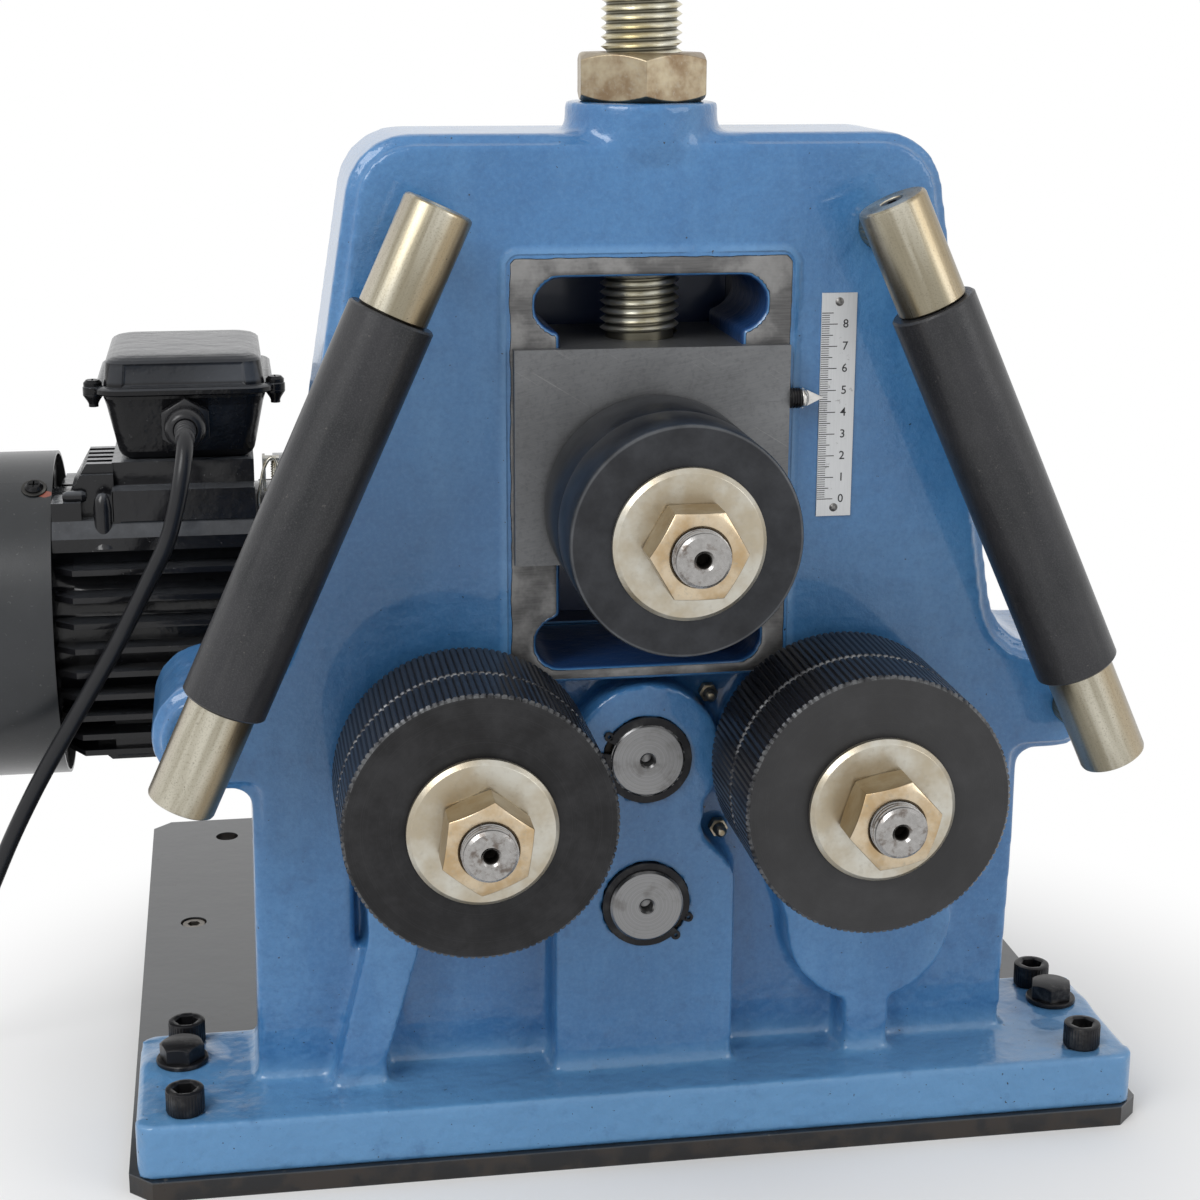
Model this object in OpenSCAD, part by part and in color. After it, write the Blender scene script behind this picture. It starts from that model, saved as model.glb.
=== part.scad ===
// Ring roller: a cast frame with two driven lower rolls, a top roll on a screw-fed block and a geared motor.
// X is across the machine, Y goes back from the front face of the frame, Z is up.
// The origin is on the underside of the base plate, under the middle of the frame's front face.

/* [Base plate] */
// Width of the base plate
plate_w = 490; // [486:2:560]
// Depth of the base plate
plate_d = 472; // [440:2:560]
// Thickness of the base plate
plate_t = 10; // [8:1:20]
// How far the base plate reaches in front of the frame's face
plate_front = 27; // [26:1:40]
// Length of the cut across each corner of the base plate
plate_corner = 11; // [4:1:20]
// Radius of the two rear fixing holes
plate_hole_r = 7; // [5:0.5:9]
// Distance between the two rear fixing holes
plate_hole_w = 396; // [340:2:420]
// Distance from the rear fixing holes to the rear edge
plate_hole_inset = 31.5; // [20:0.5:50]

/* [Frame casting] */
// Thickness of the foot
foot_t = 26.6; // [20:0.2:34]
// How far the foot reaches in front of the wall
foot_front = 25; // [22:1:26]
// Thickness of the wall
wall_d = 72; // [70:1:90]
// Height of the wall's top above the underside of the base plate
wall_top = 479; // [470:1:500]
// Width of the wall at the foot
leg_w = 368; // [356:2:376]
// Width of the wall above the ears
waist_w = 337; // [330:1:344]
// Width of the wall at its top
top_w = 258; // [244:2:280]
// Radius of the top corners
top_r = 28; // [10:1:40]
// Width across the ears that carry the guide bars
ear_w = 452; // [444:2:456]
// Radius of the ears
ear_r = 25.5; // [20:0.5:26]
// Radius of the boss that the screw passes through
boss_r = 34; // [32:1:38]
// Height of that boss above the wall
boss_h = 12.6; // [8:0.2:20]
// How far the machined pad stands proud of the wall
pad_proud = 1.5; // [0.5:0.5:3]

/* [Slide] */
// Width of the slot that guides the block
slot_w = 82; // [70:1:90]
// Width of the rounded ends of the slot
slot_end_w = 104; // [100:1:110]
// Height of the rounded ends of the slot
slot_end_h = 24; // [16:1:28]
// Height of the slot
slot_h = 177.5; // [177.5:0.5:178]
// Height of the slot's lower end above the underside of the base plate
slot_z = 240; // [239:0.5:241]
// Height of the sliding block
block_h = 97; // [90:1:97]
// Width of the sliding block's front flange
block_w = 124; // [112:1:126]
// Thickness of the sliding block's front flange
block_flange = 5.5; // [4:0.5:6]
// How far the block can move down from the position shown
travel_down = 48; // [30:1:48]
// How far the block can move up from the position shown
travel_up = 30; // [20:1:30]

/* [Screw] */
// Outside diameter of the adjusting screw
screw_d = 36; // [30:1:38]
// Pitch of the adjusting screw
screw_pitch = 4; // [3:0.5:5]
// Distance from the frame's face back to the screw's axis
screw_y = 30; // [28:1:36]
// Width across the flats of the lock nut
lock_nut_af = 55; // [50:1:60]
// Thickness of the lock nut
lock_nut_t = 21; // [14:1:24]
// Length of the handle bar
bar_len = 300; // [200:10:400]
// Diameter of the handle bar
bar_d = 18; // [12:1:22]

/* [Rolls] */
// Diameter of the two lower rolls
low_roll_d = 119; // [112:1:124]
// Diameter of the top roll
top_roll_d = 99.5; // [90:0.5:104]
// Length of the front ring of each roll
ring_front_w = 32.8; // [24:0.2:40]
// Length of the rear ring of each roll
ring_rear_w = 40; // [30:0.5:50]
// Gap between the frame's face and the rolls
roll_gap_y = 13; // [12:0.5:20]
// Height of the lower rolls' axes
low_roll_z = 196.3; // [195:0.1:198]
// Diameter of the rolls' bores
roll_bore_d = 35; // [30:1:40]
// Diameter of the washers that hold the rolls
washer_d = 65; // [56:1:72]
// Thickness of those washers
washer_t = 6; // [4:0.5:8]
// Diameter of the threaded shaft ends
shaft_end_d = 24; // [20:1:26]
// Width across the flats of the roll nuts
roll_nut_af = 36; // [34:1:41]
// Thickness of the roll nuts
roll_nut_t = 20; // [14:1:24]

/* [Gears] */
// Module of the gears
gear_module = 3; // [3:0.05:3.1]
// Teeth on each roll gear
roll_teeth = 36;
// Teeth on the idler gear
idler_teeth = 22;
// Teeth on the drive gear
drive_teeth = 26;
// Face width of the gears
gear_w = 24; // [16:1:28]
// How far the idler's axis lies below the lower rolls' axes
idler_drop = 2.7; // [1:0.1:4]
// Diameter of the idler and drive shafts
gear_shaft_d = 35; // [30:1:36]

/* [Guide bars] */
// Distance from the middle plane to the top end of each guide bar
guide_top_x = 96.5; // [90:0.5:100]
// Height of that end
guide_top_z = 452.5; // [445:0.5:456]
// Length of each guide bar
guide_len = 281.3; // [276:0.1:284]
// Tilt of each guide bar from upright
guide_tilt = 24.5; // [24:0.1:25]
// Distance from the frame's face to the guide bars' axes
guide_y = 37; // [34:1:44]
// Diameter of the bright bar ends
guide_end_d = 30.6; // [28:0.2:34]
// Diameter of the black sleeves
sleeve_d = 38; // [34:1:42]
// Length of each bright bar end
guide_end_len = 49; // [40:1:56]

/* [Motor] */
// Distance from the frame's face back to the motor's axis
motor_y = 240; // [238:1:250]
// Distance between the worm's axis and the wheel's axis
worm_centre = 90; // [88:1:100]
// Radius of the motor's cowl
cowl_r = 87.6; // [84:0.2:96]
// Length of the motor's cowl
cowl_len = 124; // [110:1:150]
// Distance from the middle plane to the cowl's open edge
cowl_x = 278; // [272:1:284]
// Distance from the middle plane to the motor's flange face
flange_x = 150; // [148:1:156]
// Distance between neighbouring cooling fins
fin_pitch = 13; // [11:0.5:16]
// Width of the terminal box
box_w = 83; // [76:1:92]
// Depth of the terminal box
box_d = 104; // [94:1:110]
// Height of the terminal box without its lid
box_h = 35; // [30:1:44]

/* [Cord] */
// Diameter of the cord
cord_d = 8.5; // [6:0.5:10]

/* [Hidden] */
$fn = 64;

// Radial clearance of a shaft that turns in its bore
run_gap = 0.05;
// Gap between faces of pieces that move past each other
face_gap = 0.3;
// How far a cut runs past the solid that it cuts
over = 2;
// Steps along a rounded corner of an outline
corner_steps = 5;

// Colours of the preview
black = [0.08, 0.08, 0.09];
steel = [0.60, 0.60, 0.60];
bright = [0.78, 0.78, 0.78];
zinc = [0.76, 0.71, 0.56];
bronze = [0.72, 0.52, 0.26];
enamel = [0.20, 0.41, 0.66];

// Heights and depths that several pieces share
foot_margin = 4;
foot_w = plate_w - 2 * foot_margin;
foot_top = plate_t + foot_t;
slot_top = slot_z + slot_h;
stop_gap = 0.5;
block_z = slot_top - stop_gap - travel_up - block_h;
block_top = block_z + block_h;
pad_y = -pad_proud;
block_front = pad_y - run_gap - block_flange;
idler_z = low_roll_z - idler_drop;
roll_gear_r = gear_module * roll_teeth / 2;
idler_gear_r = gear_module * idler_teeth / 2;
drive_gear_r = gear_module * drive_teeth / 2;
roll_x = sqrt(pow(roll_gear_r + idler_gear_r, 2) - pow(idler_drop, 2));
drive_z = idler_z - idler_gear_r - drive_gear_r;
front_wall_t = 28;
gear_back_gap = 8;
gear_y = wall_d - gear_back_gap - gear_w;
cover_t = 12;
cover_back = wall_d + cover_t;
cover_boss_t = 10;
bush_back = cover_back + cover_boss_t;
side_dirs = [-1, 1];

// Names for the rolls' own depths, from the frame's face forward
roll_back = -roll_gap_y;
ring_split = roll_back - ring_rear_w;
roll_face = ring_split - ring_front_w;
washer_face = roll_face - washer_t;
nut_face = washer_face - roll_nut_t;
shaft_tip = nut_face - 7;
top_roll_z = block_z + 27.6;
edge_chamfer = 1.2;

// Shaft and bush radii
front_journal_r = 22.5;
rear_journal_r = 17.5;
roll_bush_r = 30;
rear_bush_r = 24;
gear_seat_r = 20;
collar_r = 30;
gear_shaft_r = gear_shaft_d / 2;
gear_bush_r = gear_shaft_r + 3;
bush_inset = 1;
block_bush_r = 22.5;
block_journal_r = 17.5;
circlip_t = 1.8;
circlip_r = gear_shaft_r + 3.4;
circlip_seat = 0.15;
drive_end_proud = 4;
idler_end_proud = 2.6;

// Guide bar places
guide_dx = sin(guide_tilt);
guide_dz = -cos(guide_tilt);
stud_inset = 16;
stud_up = [guide_top_x + stud_inset * guide_dx, guide_top_z + stud_inset * guide_dz];
stud_low = [guide_top_x + (guide_len - stud_inset) * guide_dx, guide_top_z + (guide_len - stud_inset) * guide_dz];
guide_end_r = guide_end_d / 2;
stud_r = 10;
spigot_r = 8;
stud_depth = 24;
axle_r = 10;

// A direction of length one
function unit(v) = v / norm(v);
// The points of one rounded corner b, which is [x, y, radius], between its neighbours a and c
function corner_points(a, b, c) =
    b[2] == 0 ? [[b[0], b[1]]] :
    let (p = [b[0], b[1]],
         u = unit([a[0], a[1]] - p),
         v = unit([c[0], c[1]] - p),
         half = acos(u * v) / 2,
         centre = p + unit(u + v) * b[2] / sin(half),
         first = p + u * b[2] / tan(half) - centre,
         last = p + v * b[2] / tan(half) - centre)
    [for (i = [0:corner_steps]) centre + b[2] * unit(first * (corner_steps - i) + last * i)];
// An outline of [x, y, radius] corners with each corner rounded
function rounded(corners) =
    let (n = len(corners))
    [for (i = [0:n - 1]) each corner_points(corners[(i + n - 1) % n], corners[i], corners[(i + 1) % n])];
// The same corners on both sides of the middle plane, from the right half in order upwards
function both_sides(half) =
    concat(half, [for (i = [len(half) - 1:-1:0]) [-half[i][0], half[i][1], half[i][2]]]);
function rect_corners(x0, x1, y0, y1, r) = [[x0, y0, r], [x1, y0, r], [x1, y1, r], [x0, y1, r]];

// An outline in X and Z, made solid from y0 back to y1
module along_y(y0, y1) {
    translate([0, y1, 0])
        rotate([90, 0, 0])
            linear_extrude(height = y1 - y0)
                children();
}
// An outline in X and Y, made solid from z0 up to z1
module along_z(z0, z1) {
    translate([0, 0, z0])
        linear_extrude(height = z1 - z0)
            children();
}
module rod_y(x, z, r, y0, y1) {
    translate([x, y0, z])
        rotate([-90, 0, 0])
            cylinder(r = r, h = y1 - y0);
}
module rod_x(y, z, r, x0, x1) {
    translate([x0, y, z])
        rotate([0, 90, 0])
            cylinder(r = r, h = x1 - x0);
}
module rod_z(x, y, r, z0, z1) {
    translate([x, y, z0])
        cylinder(r = r, h = z1 - z0);
}
// A turned piece on an axis along Y, from points of [radius, y]
module turned_y(x, z, points) {
    translate([x, 0, z])
        rotate([-90, 0, 0])
            rotate_extrude()
                polygon(points);
}
module turned_x(y, z, points) {
    translate([0, y, z])
        rotate([0, 90, 0])
            rotate_extrude()
                polygon(points);
}
module turned_z(x, y, points) {
    translate([x, y, 0])
        rotate_extrude()
            polygon(points);
}
// A block between two corners
module block(a, b) {
    translate(a)
        cube(b - a);
}
// A ring with chamfered edges, about Z
module ring(r, bore_r, h, chamfer) {
    rotate_extrude()
        polygon([[bore_r, 0], [r - chamfer, 0], [r, chamfer], [r, h - chamfer], [r - chamfer, h], [bore_r, h]]);
}
// A hexagon nut about Z with its corners turned down at both faces
module hex_nut(af, h, bore_r) {
    corner_r = af / 2 / cos(30);
    cut_r = af / 2 * nut_turn_share;
    cut_h = (corner_r - cut_r) * tan(30);
    difference() {
        intersection() {
            cylinder(r = corner_r, h = h, $fn = 6);
            rotate_extrude()
                polygon([[0, 0], [cut_r, 0], [corner_r, cut_h], [corner_r, h - cut_h], [cut_r, h], [0, h]]);
        }
        translate([0, 0, -over])
            cylinder(r = bore_r, h = h + 2 * over);
    }
}
nut_turn_share = 0.96;
// Sizes of a socket head screw as shares of its thread diameter
head_d_share = 1.5;
socket_af_share = 0.8;
socket_depth_share = 0.55;
// A socket head screw about Z, its head's underside at zero and its shank going down
module socket_screw(d, shank) {
    difference() {
        union() {
            rotate_extrude()
                polygon([[0, 0], [d * head_d_share / 2, 0], [d * head_d_share / 2, d - d * 0.06],
                    [d * head_d_share / 2 - d * 0.06, d], [0, d]]);
            translate([0, 0, -shank])
                cylinder(r = d / 2, h = shank);
        }
        translate([0, 0, d - d * socket_depth_share])
            cylinder(r = d * socket_af_share / 2 / cos(30), h = d, $fn = 6);
    }
}
// One involute gear outline, from its module and number of teeth
pressure_angle = 20;
backlash_share = 0.04;
flank_steps = 4;
function involute_angle(base_r, r) =
    let (a = acos(min(1, base_r / r))) tan(a) * 180 / PI - a;
function gear_points(m, teeth, turn) =
    let (pitch_r = m * teeth / 2,
         base_r = pitch_r * cos(pressure_angle),
         tip_r = pitch_r + m,
         root_r = pitch_r - 1.25 * m,
         start_r = max(base_r, root_r),
         half = 90 / teeth * (1 - backlash_share) + involute_angle(base_r, pitch_r))
    [for (t = [0:teeth - 1]) each concat(
        [let (a = turn + 360 / teeth * t - half) root_r * [cos(a), sin(a)]],
        [for (i = [0:flank_steps])
            let (r = start_r + (tip_r - start_r) * i / flank_steps,
                 a = turn + 360 / teeth * t - half + involute_angle(base_r, r))
            r * [cos(a), sin(a)]],
        [for (i = [flank_steps:-1:0])
            let (r = start_r + (tip_r - start_r) * i / flank_steps,
                 a = turn + 360 / teeth * t + half - involute_angle(base_r, r))
            r * [cos(a), sin(a)]],
        [let (a = turn + 360 / teeth * t + half) root_r * [cos(a), sin(a)]])];
module gear_y_axis(x, z, teeth, turn, bore_r, y0, y1) {
    difference() {
        translate([x, 0, z])
            along_y(y0, y1)
                polygon(gear_points(gear_module, teeth, turn));
        rod_y(x, z, bore_r, y0 - over, y1 + over);
    }
}

// Base plate: rolled steel with cut corners, two fixing holes at the back and two tapped holes at mid depth
plate_back = plate_d - plate_front;
plate_hole_y = plate_back - plate_hole_inset;
level_screw_inset = 27;
level_screw_x = plate_w / 2 - level_screw_inset;
level_screw_y = 275;
level_screw_r = 7.5;
level_screw_drop = 0.8;
module base_plate() {
    color(black)
    difference() {
        along_z(0, plate_t)
            polygon([[-plate_w / 2 + plate_corner, -plate_front], [plate_w / 2 - plate_corner, -plate_front],
                [plate_w / 2, -plate_front + plate_corner], [plate_w / 2, plate_back - plate_corner],
                [plate_w / 2 - plate_corner, plate_back], [-plate_w / 2 + plate_corner, plate_back],
                [-plate_w / 2, plate_back - plate_corner], [-plate_w / 2, -plate_front + plate_corner]]);
        for (s = side_dirs) {
            rod_z(s * plate_hole_w / 2, plate_hole_y, plate_hole_r, -over, plate_t + over);
            rod_z(s * level_screw_x, level_screw_y, level_screw_r, -over, plate_t + over);
            for (p = foot_places)
                rod_z(s * p[0], p[1], foot_screw_d / 2, -over, plate_t + over);
            rod_z(s * foot_bolt[0], foot_bolt[1], foot_bolt_d / 2, -over, plate_t + over);
            for (y = gearbox_foot_ys)
                rod_z(s * gearbox_foot_x, y, gearbox_bolt_d / 2, -over, plate_t + over);
        }
    }
}

// Levelling screws: two headless screws with a hexagon socket, in the base plate at mid depth
module levelling_screws() {
    color(steel)
    for (s = side_dirs)
        translate([s * level_screw_x, level_screw_y, 0])
            difference() {
                rotate_extrude()
                    polygon([[0, 0], [level_screw_r - edge_chamfer, 0], [level_screw_r, edge_chamfer],
                        [level_screw_r, plate_t - level_screw_drop - edge_chamfer],
                        [level_screw_r - edge_chamfer, plate_t - level_screw_drop], [0, plate_t - level_screw_drop]]);
                translate([0, 0, plate_t / 2])
                    cylinder(r = level_screw_r / 2, h = plate_t, $fn = 6);
            }
}

// Frame casting: foot, wall with ears, screw boss, machined slot and, at the back, a chamber for the gears
foot_corner_r = 9;
foot_screw_d = 12;
foot_bolt_d = 12;
foot_screw_inset = 23;
foot_screw_front = 15;
foot_screw_back = 10;
foot_places = [for (y = [foot_screw_front - foot_front, wall_d - foot_screw_back])
    [foot_w / 2 - foot_screw_inset, y]];
foot_bolt_inset = 21;
foot_bolt = [foot_w / 2 - foot_bolt_inset, 38.5];
land_r = 19;
land_h = 1.5;
wall_edge = 4.5;
wall_edge_d = 5;
leg_taper = 2;
ear_low = 24;
ear_high = 27.5;
under_r = 8;
over_r = 30;
column_spread = 5;
column_fillet = 12;
boss_low = 15;
relief_d = 21;
column_w = 87;
column_neck_w = 53;
column_low_z = 136;
column_waist_z = 155;
idler_boss_r = 36;
bulb_x = 110.5;
bulb_z = 104;
bulb_r = 41;
neck_w = 23;
rib_w = 26;
rib_top = [-118, 113];
rib_foot = [-136.5, 37];
roll_boss_r = 48;
outer_slope_d = 15;
outer_top_z = 190;
pad_side = 2.5;
pad_top = 10;
pad_foot = 7;
pad_corner_r = 8;
chamber_gap = 1.5;
function wall_outline(inset) =
    rounded(both_sides([
        [leg_w / 2 - inset, plate_t + foot_t / 2, 0],
        [leg_w / 2 - leg_taper - inset, stud_low[1] - ear_low + inset, under_r],
        [ear_w / 2 - inset, stud_low[1] - ear_low + inset, ear_r - inset],
        [ear_w / 2 - inset, stud_low[1] + ear_high - inset, ear_r - inset],
        [waist_w / 2 - inset, stud_low[1] + ear_high - inset, over_r],
        [top_w / 2 - inset, wall_top - inset, top_r - inset]]));
module slot_cut(y0, y1) {
    block([-slot_w / 2, y0, slot_z + slot_end_h / 2], [slot_w / 2, y1, slot_top - slot_end_h / 2]);
    for (z = [slot_z + slot_end_h / 2, slot_top - slot_end_h / 2]) {
        block([-(slot_end_w - slot_end_h) / 2, y0, z - slot_end_h / 2],
            [(slot_end_w - slot_end_h) / 2, y1, z + slot_end_h / 2]);
        for (s = side_dirs)
            rod_y(s * (slot_end_w - slot_end_h) / 2, z, slot_end_h / 2, y0, y1);
    }
}
// The raised shapes that stay when the lower front is recessed
module raised_front() {
    rod_y(0, idler_z, idler_boss_r, -over, relief_d + over);
    along_y(-over, relief_d + over)
        polygon(rounded(both_sides([
            [column_w / 2, plate_t, 0],
            [column_w / 2, column_low_z, gear_shaft_r],
            [column_neck_w / 2, column_waist_z, column_fillet],
            [column_neck_w / 2 + column_spread, idler_z + column_fillet, column_fillet]])));
    for (s = side_dirs)
        rod_y(s * roll_x, low_roll_z, roll_boss_r, -over, relief_d + over);
    rod_y(bulb_x, bulb_z, bulb_r, -over, relief_d + over);
    along_y(-over, relief_d + over)
        polygon([[bulb_x + neck_w / 2, plate_t], [bulb_x + neck_w / 2, bulb_z - bulb_r], [bulb_x + bulb_r / 2, bulb_z],
            [bulb_x + bulb_r - 1, bulb_z], [roll_x + roll_boss_r - 1, low_roll_z], [roll_x - roll_boss_r + 1, low_roll_z],
            [bulb_x - bulb_r + 1, bulb_z], [bulb_x - bulb_r / 2, bulb_z], [bulb_x - neck_w / 2, bulb_z - bulb_r],
            [bulb_x - neck_w / 2, plate_t]]);
    along_y(-over, relief_d + over)
        polygon([[rib_foot[0] - rib_w / 2, rib_foot[1] - foot_t], [rib_foot[0] + rib_w / 2, rib_foot[1] - foot_t],
            [rib_foot[0] + rib_w / 2, rib_foot[1] + column_fillet], [rib_top[0] + rib_w / 2, rib_top[1]],
            [-roll_x - roll_boss_r / 2, low_roll_z], [-roll_x - roll_boss_r, low_roll_z],
            [rib_top[0] - rib_w / 2, rib_top[1]], [rib_foot[0] - rib_w / 2, rib_foot[1]]]);
}
module lower_relief() {
    pocket_top = idler_z + idler_boss_r / 2;
    difference() {
        union() {
            block([rib_foot[0], -over, foot_top], [bulb_x, relief_d, pocket_top]);
            block([-roll_x, -over, pocket_top - over], [roll_x, relief_d, slot_z - pad_foot]);
        }
        raised_front();
    }
}
// The outer parts of the lower front, which lean back towards the foot
module outer_slopes() {
    lean = atan(outer_slope_d / (outer_top_z - foot_top));
    difference() {
        translate([0, 0, outer_top_z])
            rotate([lean, 0, 0])
                translate([-foot_w / 2, -outer_slope_d - over, -2 * outer_top_z])
                    cube([foot_w, outer_slope_d + over, 2 * outer_top_z]);
        raised_front();
        block([rib_foot[0], -foot_w, 0], [bulb_x, relief_d + foot_w, outer_top_z * 2]);
        block([-foot_w, -foot_w, -outer_top_z], [foot_w, foot_w, foot_top]);
    }
}
module gear_chamber() {
    y0 = front_wall_t;
    y1 = wall_d + over;
    for (s = side_dirs)
        rod_y(s * roll_x, low_roll_z, roll_gear_r + gear_module + chamber_gap, y0, y1);
    rod_y(0, idler_z, idler_gear_r + gear_module + chamber_gap, y0, y1);
    rod_y(0, drive_z, drive_gear_r + gear_module + chamber_gap, y0, y1);
    block([-roll_x, y0, idler_z - idler_gear_r], [roll_x, y1, idler_z + idler_gear_r / 2]);
}
module casting() {
    color(enamel)
    difference() {
        union() {
            along_z(plate_t, foot_top)
                polygon(rounded(rect_corners(-foot_w / 2, foot_w / 2, -foot_front, wall_d, foot_corner_r)));
            for (s = side_dirs)
                rod_z(s * foot_bolt[0], foot_bolt[1], land_r, foot_top - land_h, foot_top + land_h);
            along_y(wall_edge_d, wall_d)
                polygon(wall_outline(0));
            along_y(0, wall_edge_d)
                polygon(wall_outline(wall_edge));
            rod_z(0, screw_y, boss_r, wall_top - boss_low, wall_top + boss_h);
            along_y(pad_y, wall_edge_d)
                polygon(rounded(rect_corners(-block_w / 2 - pad_side, block_w / 2 + pad_side,
                    slot_z - pad_foot, slot_top + pad_top, pad_corner_r)));
        }
        slot_cut(pad_y - over, wall_d + over);
        lower_relief();
        outer_slopes();
        gear_chamber();
        rod_z(0, screw_y, screw_d / 2 + run_gap, slot_top - over, wall_top + boss_h + over);
        for (s = side_dirs) {
            rod_y(s * roll_x, low_roll_z, roll_bush_r, -over, front_wall_t + over);
            for (p = [stud_up, stud_low])
                rod_y(s * p[0], p[1], spigot_r, -over, stud_depth);
            for (p = foot_places) {
                rod_z(s * p[0], p[1], foot_screw_d / 2, plate_t - over, foot_top + over);
                rod_z(s * p[0], p[1], foot_screw_d * head_d_share / 2 + face_gap, foot_top, foot_top + over);
            }
            rod_z(s * foot_bolt[0], foot_bolt[1], foot_bolt_d / 2, plate_t - over, foot_top + land_h + over);
        }
        for (z = [idler_z, drive_z])
            rod_y(0, z, gear_bush_r, -over, front_wall_t + over);
        for (p = cover_places)
            rod_y(p[0], p[1], cover_screw_d / 2, wall_d - cover_screw_depth, wall_d + over);
        for (p = nipple_places)
            rod_y(p[0], p[1], nipple_shank_r, -over, relief_d + nipple_shank);
        for (z = rivet_zs)
            rod_y(scale_x + scale_w / 2, z, rivet_shank_r, -over, rivet_depth);
    }
}

// Rear cover: a plate with bosses that closes the gear chamber and carries the rear bushes
cover_side = 12.5;
cover_edge_r = 10;
cover_notch_x = 57;
cover_low_z = 66;
cover_screw_d = 8;
cover_screw_depth = 20;
cover_screw_inset = 8;
cover_right = roll_x + roll_gear_r + gear_module + chamber_gap + cover_side;
cover_top_z = low_roll_z + roll_gear_r + gear_module + chamber_gap + cover_side;
cover_notch_z = slot_z;
cover_shoulder_z = low_roll_z - roll_gear_r - 12;
cover_foot_x = 64;
cover_places = [for (s = side_dirs) for (p = [
        [cover_right - cover_screw_inset, cover_top_z - cover_screw_inset],
        [cover_right - cover_screw_inset, cover_shoulder_z + cover_screw_inset],
        [cover_foot_x - cover_screw_inset, cover_low_z + cover_screw_inset],
        [cover_notch_x + cover_screw_inset, cover_top_z - cover_screw_inset]])
    [s * p[0], p[1]]];
module rear_cover() {
    color(enamel)
    difference() {
        union() {
            along_y(wall_d, cover_back)
                polygon(rounded(both_sides([
                    [cover_foot_x, cover_low_z, cover_edge_r],
                    [cover_right, cover_shoulder_z, cover_edge_r],
                    [cover_right, cover_top_z, cover_edge_r],
                    [cover_notch_x, cover_top_z, cover_edge_r / 2],
                    [cover_notch_x, cover_notch_z, cover_edge_r / 2]])));
            for (s = side_dirs)
                rod_y(s * roll_x, low_roll_z, rear_bush_r + cover_boss_t, cover_back - over, bush_back);
            for (z = [idler_z, drive_z])
                rod_y(0, z, gear_bush_r + cover_boss_t, cover_back - over, bush_back);
        }
        for (s = side_dirs)
            rod_y(s * roll_x, low_roll_z, rear_bush_r, wall_d - over, bush_back + over);
        for (z = [idler_z, drive_z])
            rod_y(0, z, gear_bush_r, wall_d - over, bush_back + over);
        for (p = cover_places)
            rod_y(p[0], p[1], cover_screw_d / 2, wall_d - over, cover_back + over);
    }
}
module cover_screws() {
    color(black)
    for (p = cover_places)
        translate([p[0], cover_back, p[1]])
            rotate([-90, 0, 0])
                socket_screw(cover_screw_d, cover_t + cover_screw_depth - over);
}

// Fasteners of the foot
washer_thin = 2.5;
foot_washer_r = 12.5;
foot_bolt_af = 19;
foot_bolt_head = 7.5;
bolt_end_gap = 1;
module base_socket_screws() {
    color(black)
    for (s = side_dirs)
        for (p = foot_places)
            translate([s * p[0], p[1], foot_top])
                socket_screw(foot_screw_d, foot_top - bolt_end_gap);
}
module base_hex_bolts() {
    color(black)
    for (s = side_dirs)
        translate([s * foot_bolt[0], foot_bolt[1], foot_top + land_h]) {
            ring(foot_washer_r, foot_bolt_d / 2, washer_thin, washer_thin / 5);
            translate([0, 0, washer_thin])
                hex_nut(foot_bolt_af, foot_bolt_head, foot_bolt_d / 2);
            translate([0, 0, -foot_top - land_h + bolt_end_gap])
                cylinder(r = foot_bolt_d / 2, h = foot_top + land_h - bolt_end_gap + washer_thin + foot_bolt_head);
        }
}

// Bronze bushes: two for each lower roll shaft, two for the idler shaft and two for the drive shaft
module bush_y(x, z, r, bore_r, y0, y1) {
    difference() {
        rod_y(x, z, r, y0, y1);
        rod_y(x, z, bore_r, y0 - over, y1 + over);
    }
}
module shaft_bushes() {
    color(bronze) {
        for (s = side_dirs) {
            bush_y(s * roll_x, low_roll_z, roll_bush_r, front_journal_r + run_gap, bush_inset, front_wall_t);
            bush_y(s * roll_x, low_roll_z, rear_bush_r, rear_journal_r + run_gap, wall_d, bush_back);
        }
        for (z = [idler_z, drive_z]) {
            bush_y(0, z, gear_bush_r, gear_shaft_r + run_gap, bush_inset, front_wall_t);
            bush_y(0, z, gear_bush_r, gear_shaft_r + run_gap, wall_d, bush_back);
        }
    }
}

// Scale plate with its two rivets, beside the slot
scale_gap = 12.7;
scale_x = block_w / 2 + pad_side + scale_gap;
scale_w = 16.3;
scale_t = 0.8;
scale_zero_z = block_z + 25;
scale_len = 102;
scale_below = 8;
scale_z = scale_zero_z - scale_below;
rivet_r = 2;
rivet_shank_r = 1.2;
rivet_h = 1;
rivet_depth = 5;
rivet_inset = 4;
rivet_zs = [scale_z + rivet_inset, scale_z + scale_len - rivet_inset];
module scale_plate() {
    color(bright)
    difference() {
        block([scale_x, -scale_t, scale_z], [scale_x + scale_w, 0, scale_z + scale_len]);
        for (z = rivet_zs)
            rod_y(scale_x + scale_w / 2, z, rivet_shank_r, -scale_t - over, over);
    }
}
module scale_rivets() {
    color(bright)
    for (z = rivet_zs)
        turned_y(scale_x + scale_w / 2, z, [[0, -scale_t - rivet_h], [rivet_r / 2, -scale_t - rivet_h * 3 / 4],
            [rivet_r, -scale_t], [rivet_shank_r, -scale_t], [rivet_shank_r, rivet_depth], [0, rivet_depth]]);
}

// Guide bars: two bright ends on studs, an axle between them and a loose black sleeve on each axle
axle_in = 14;
grub_r = 5;
grub_len = 7.5;
end_chamfer = 1.5;
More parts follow.
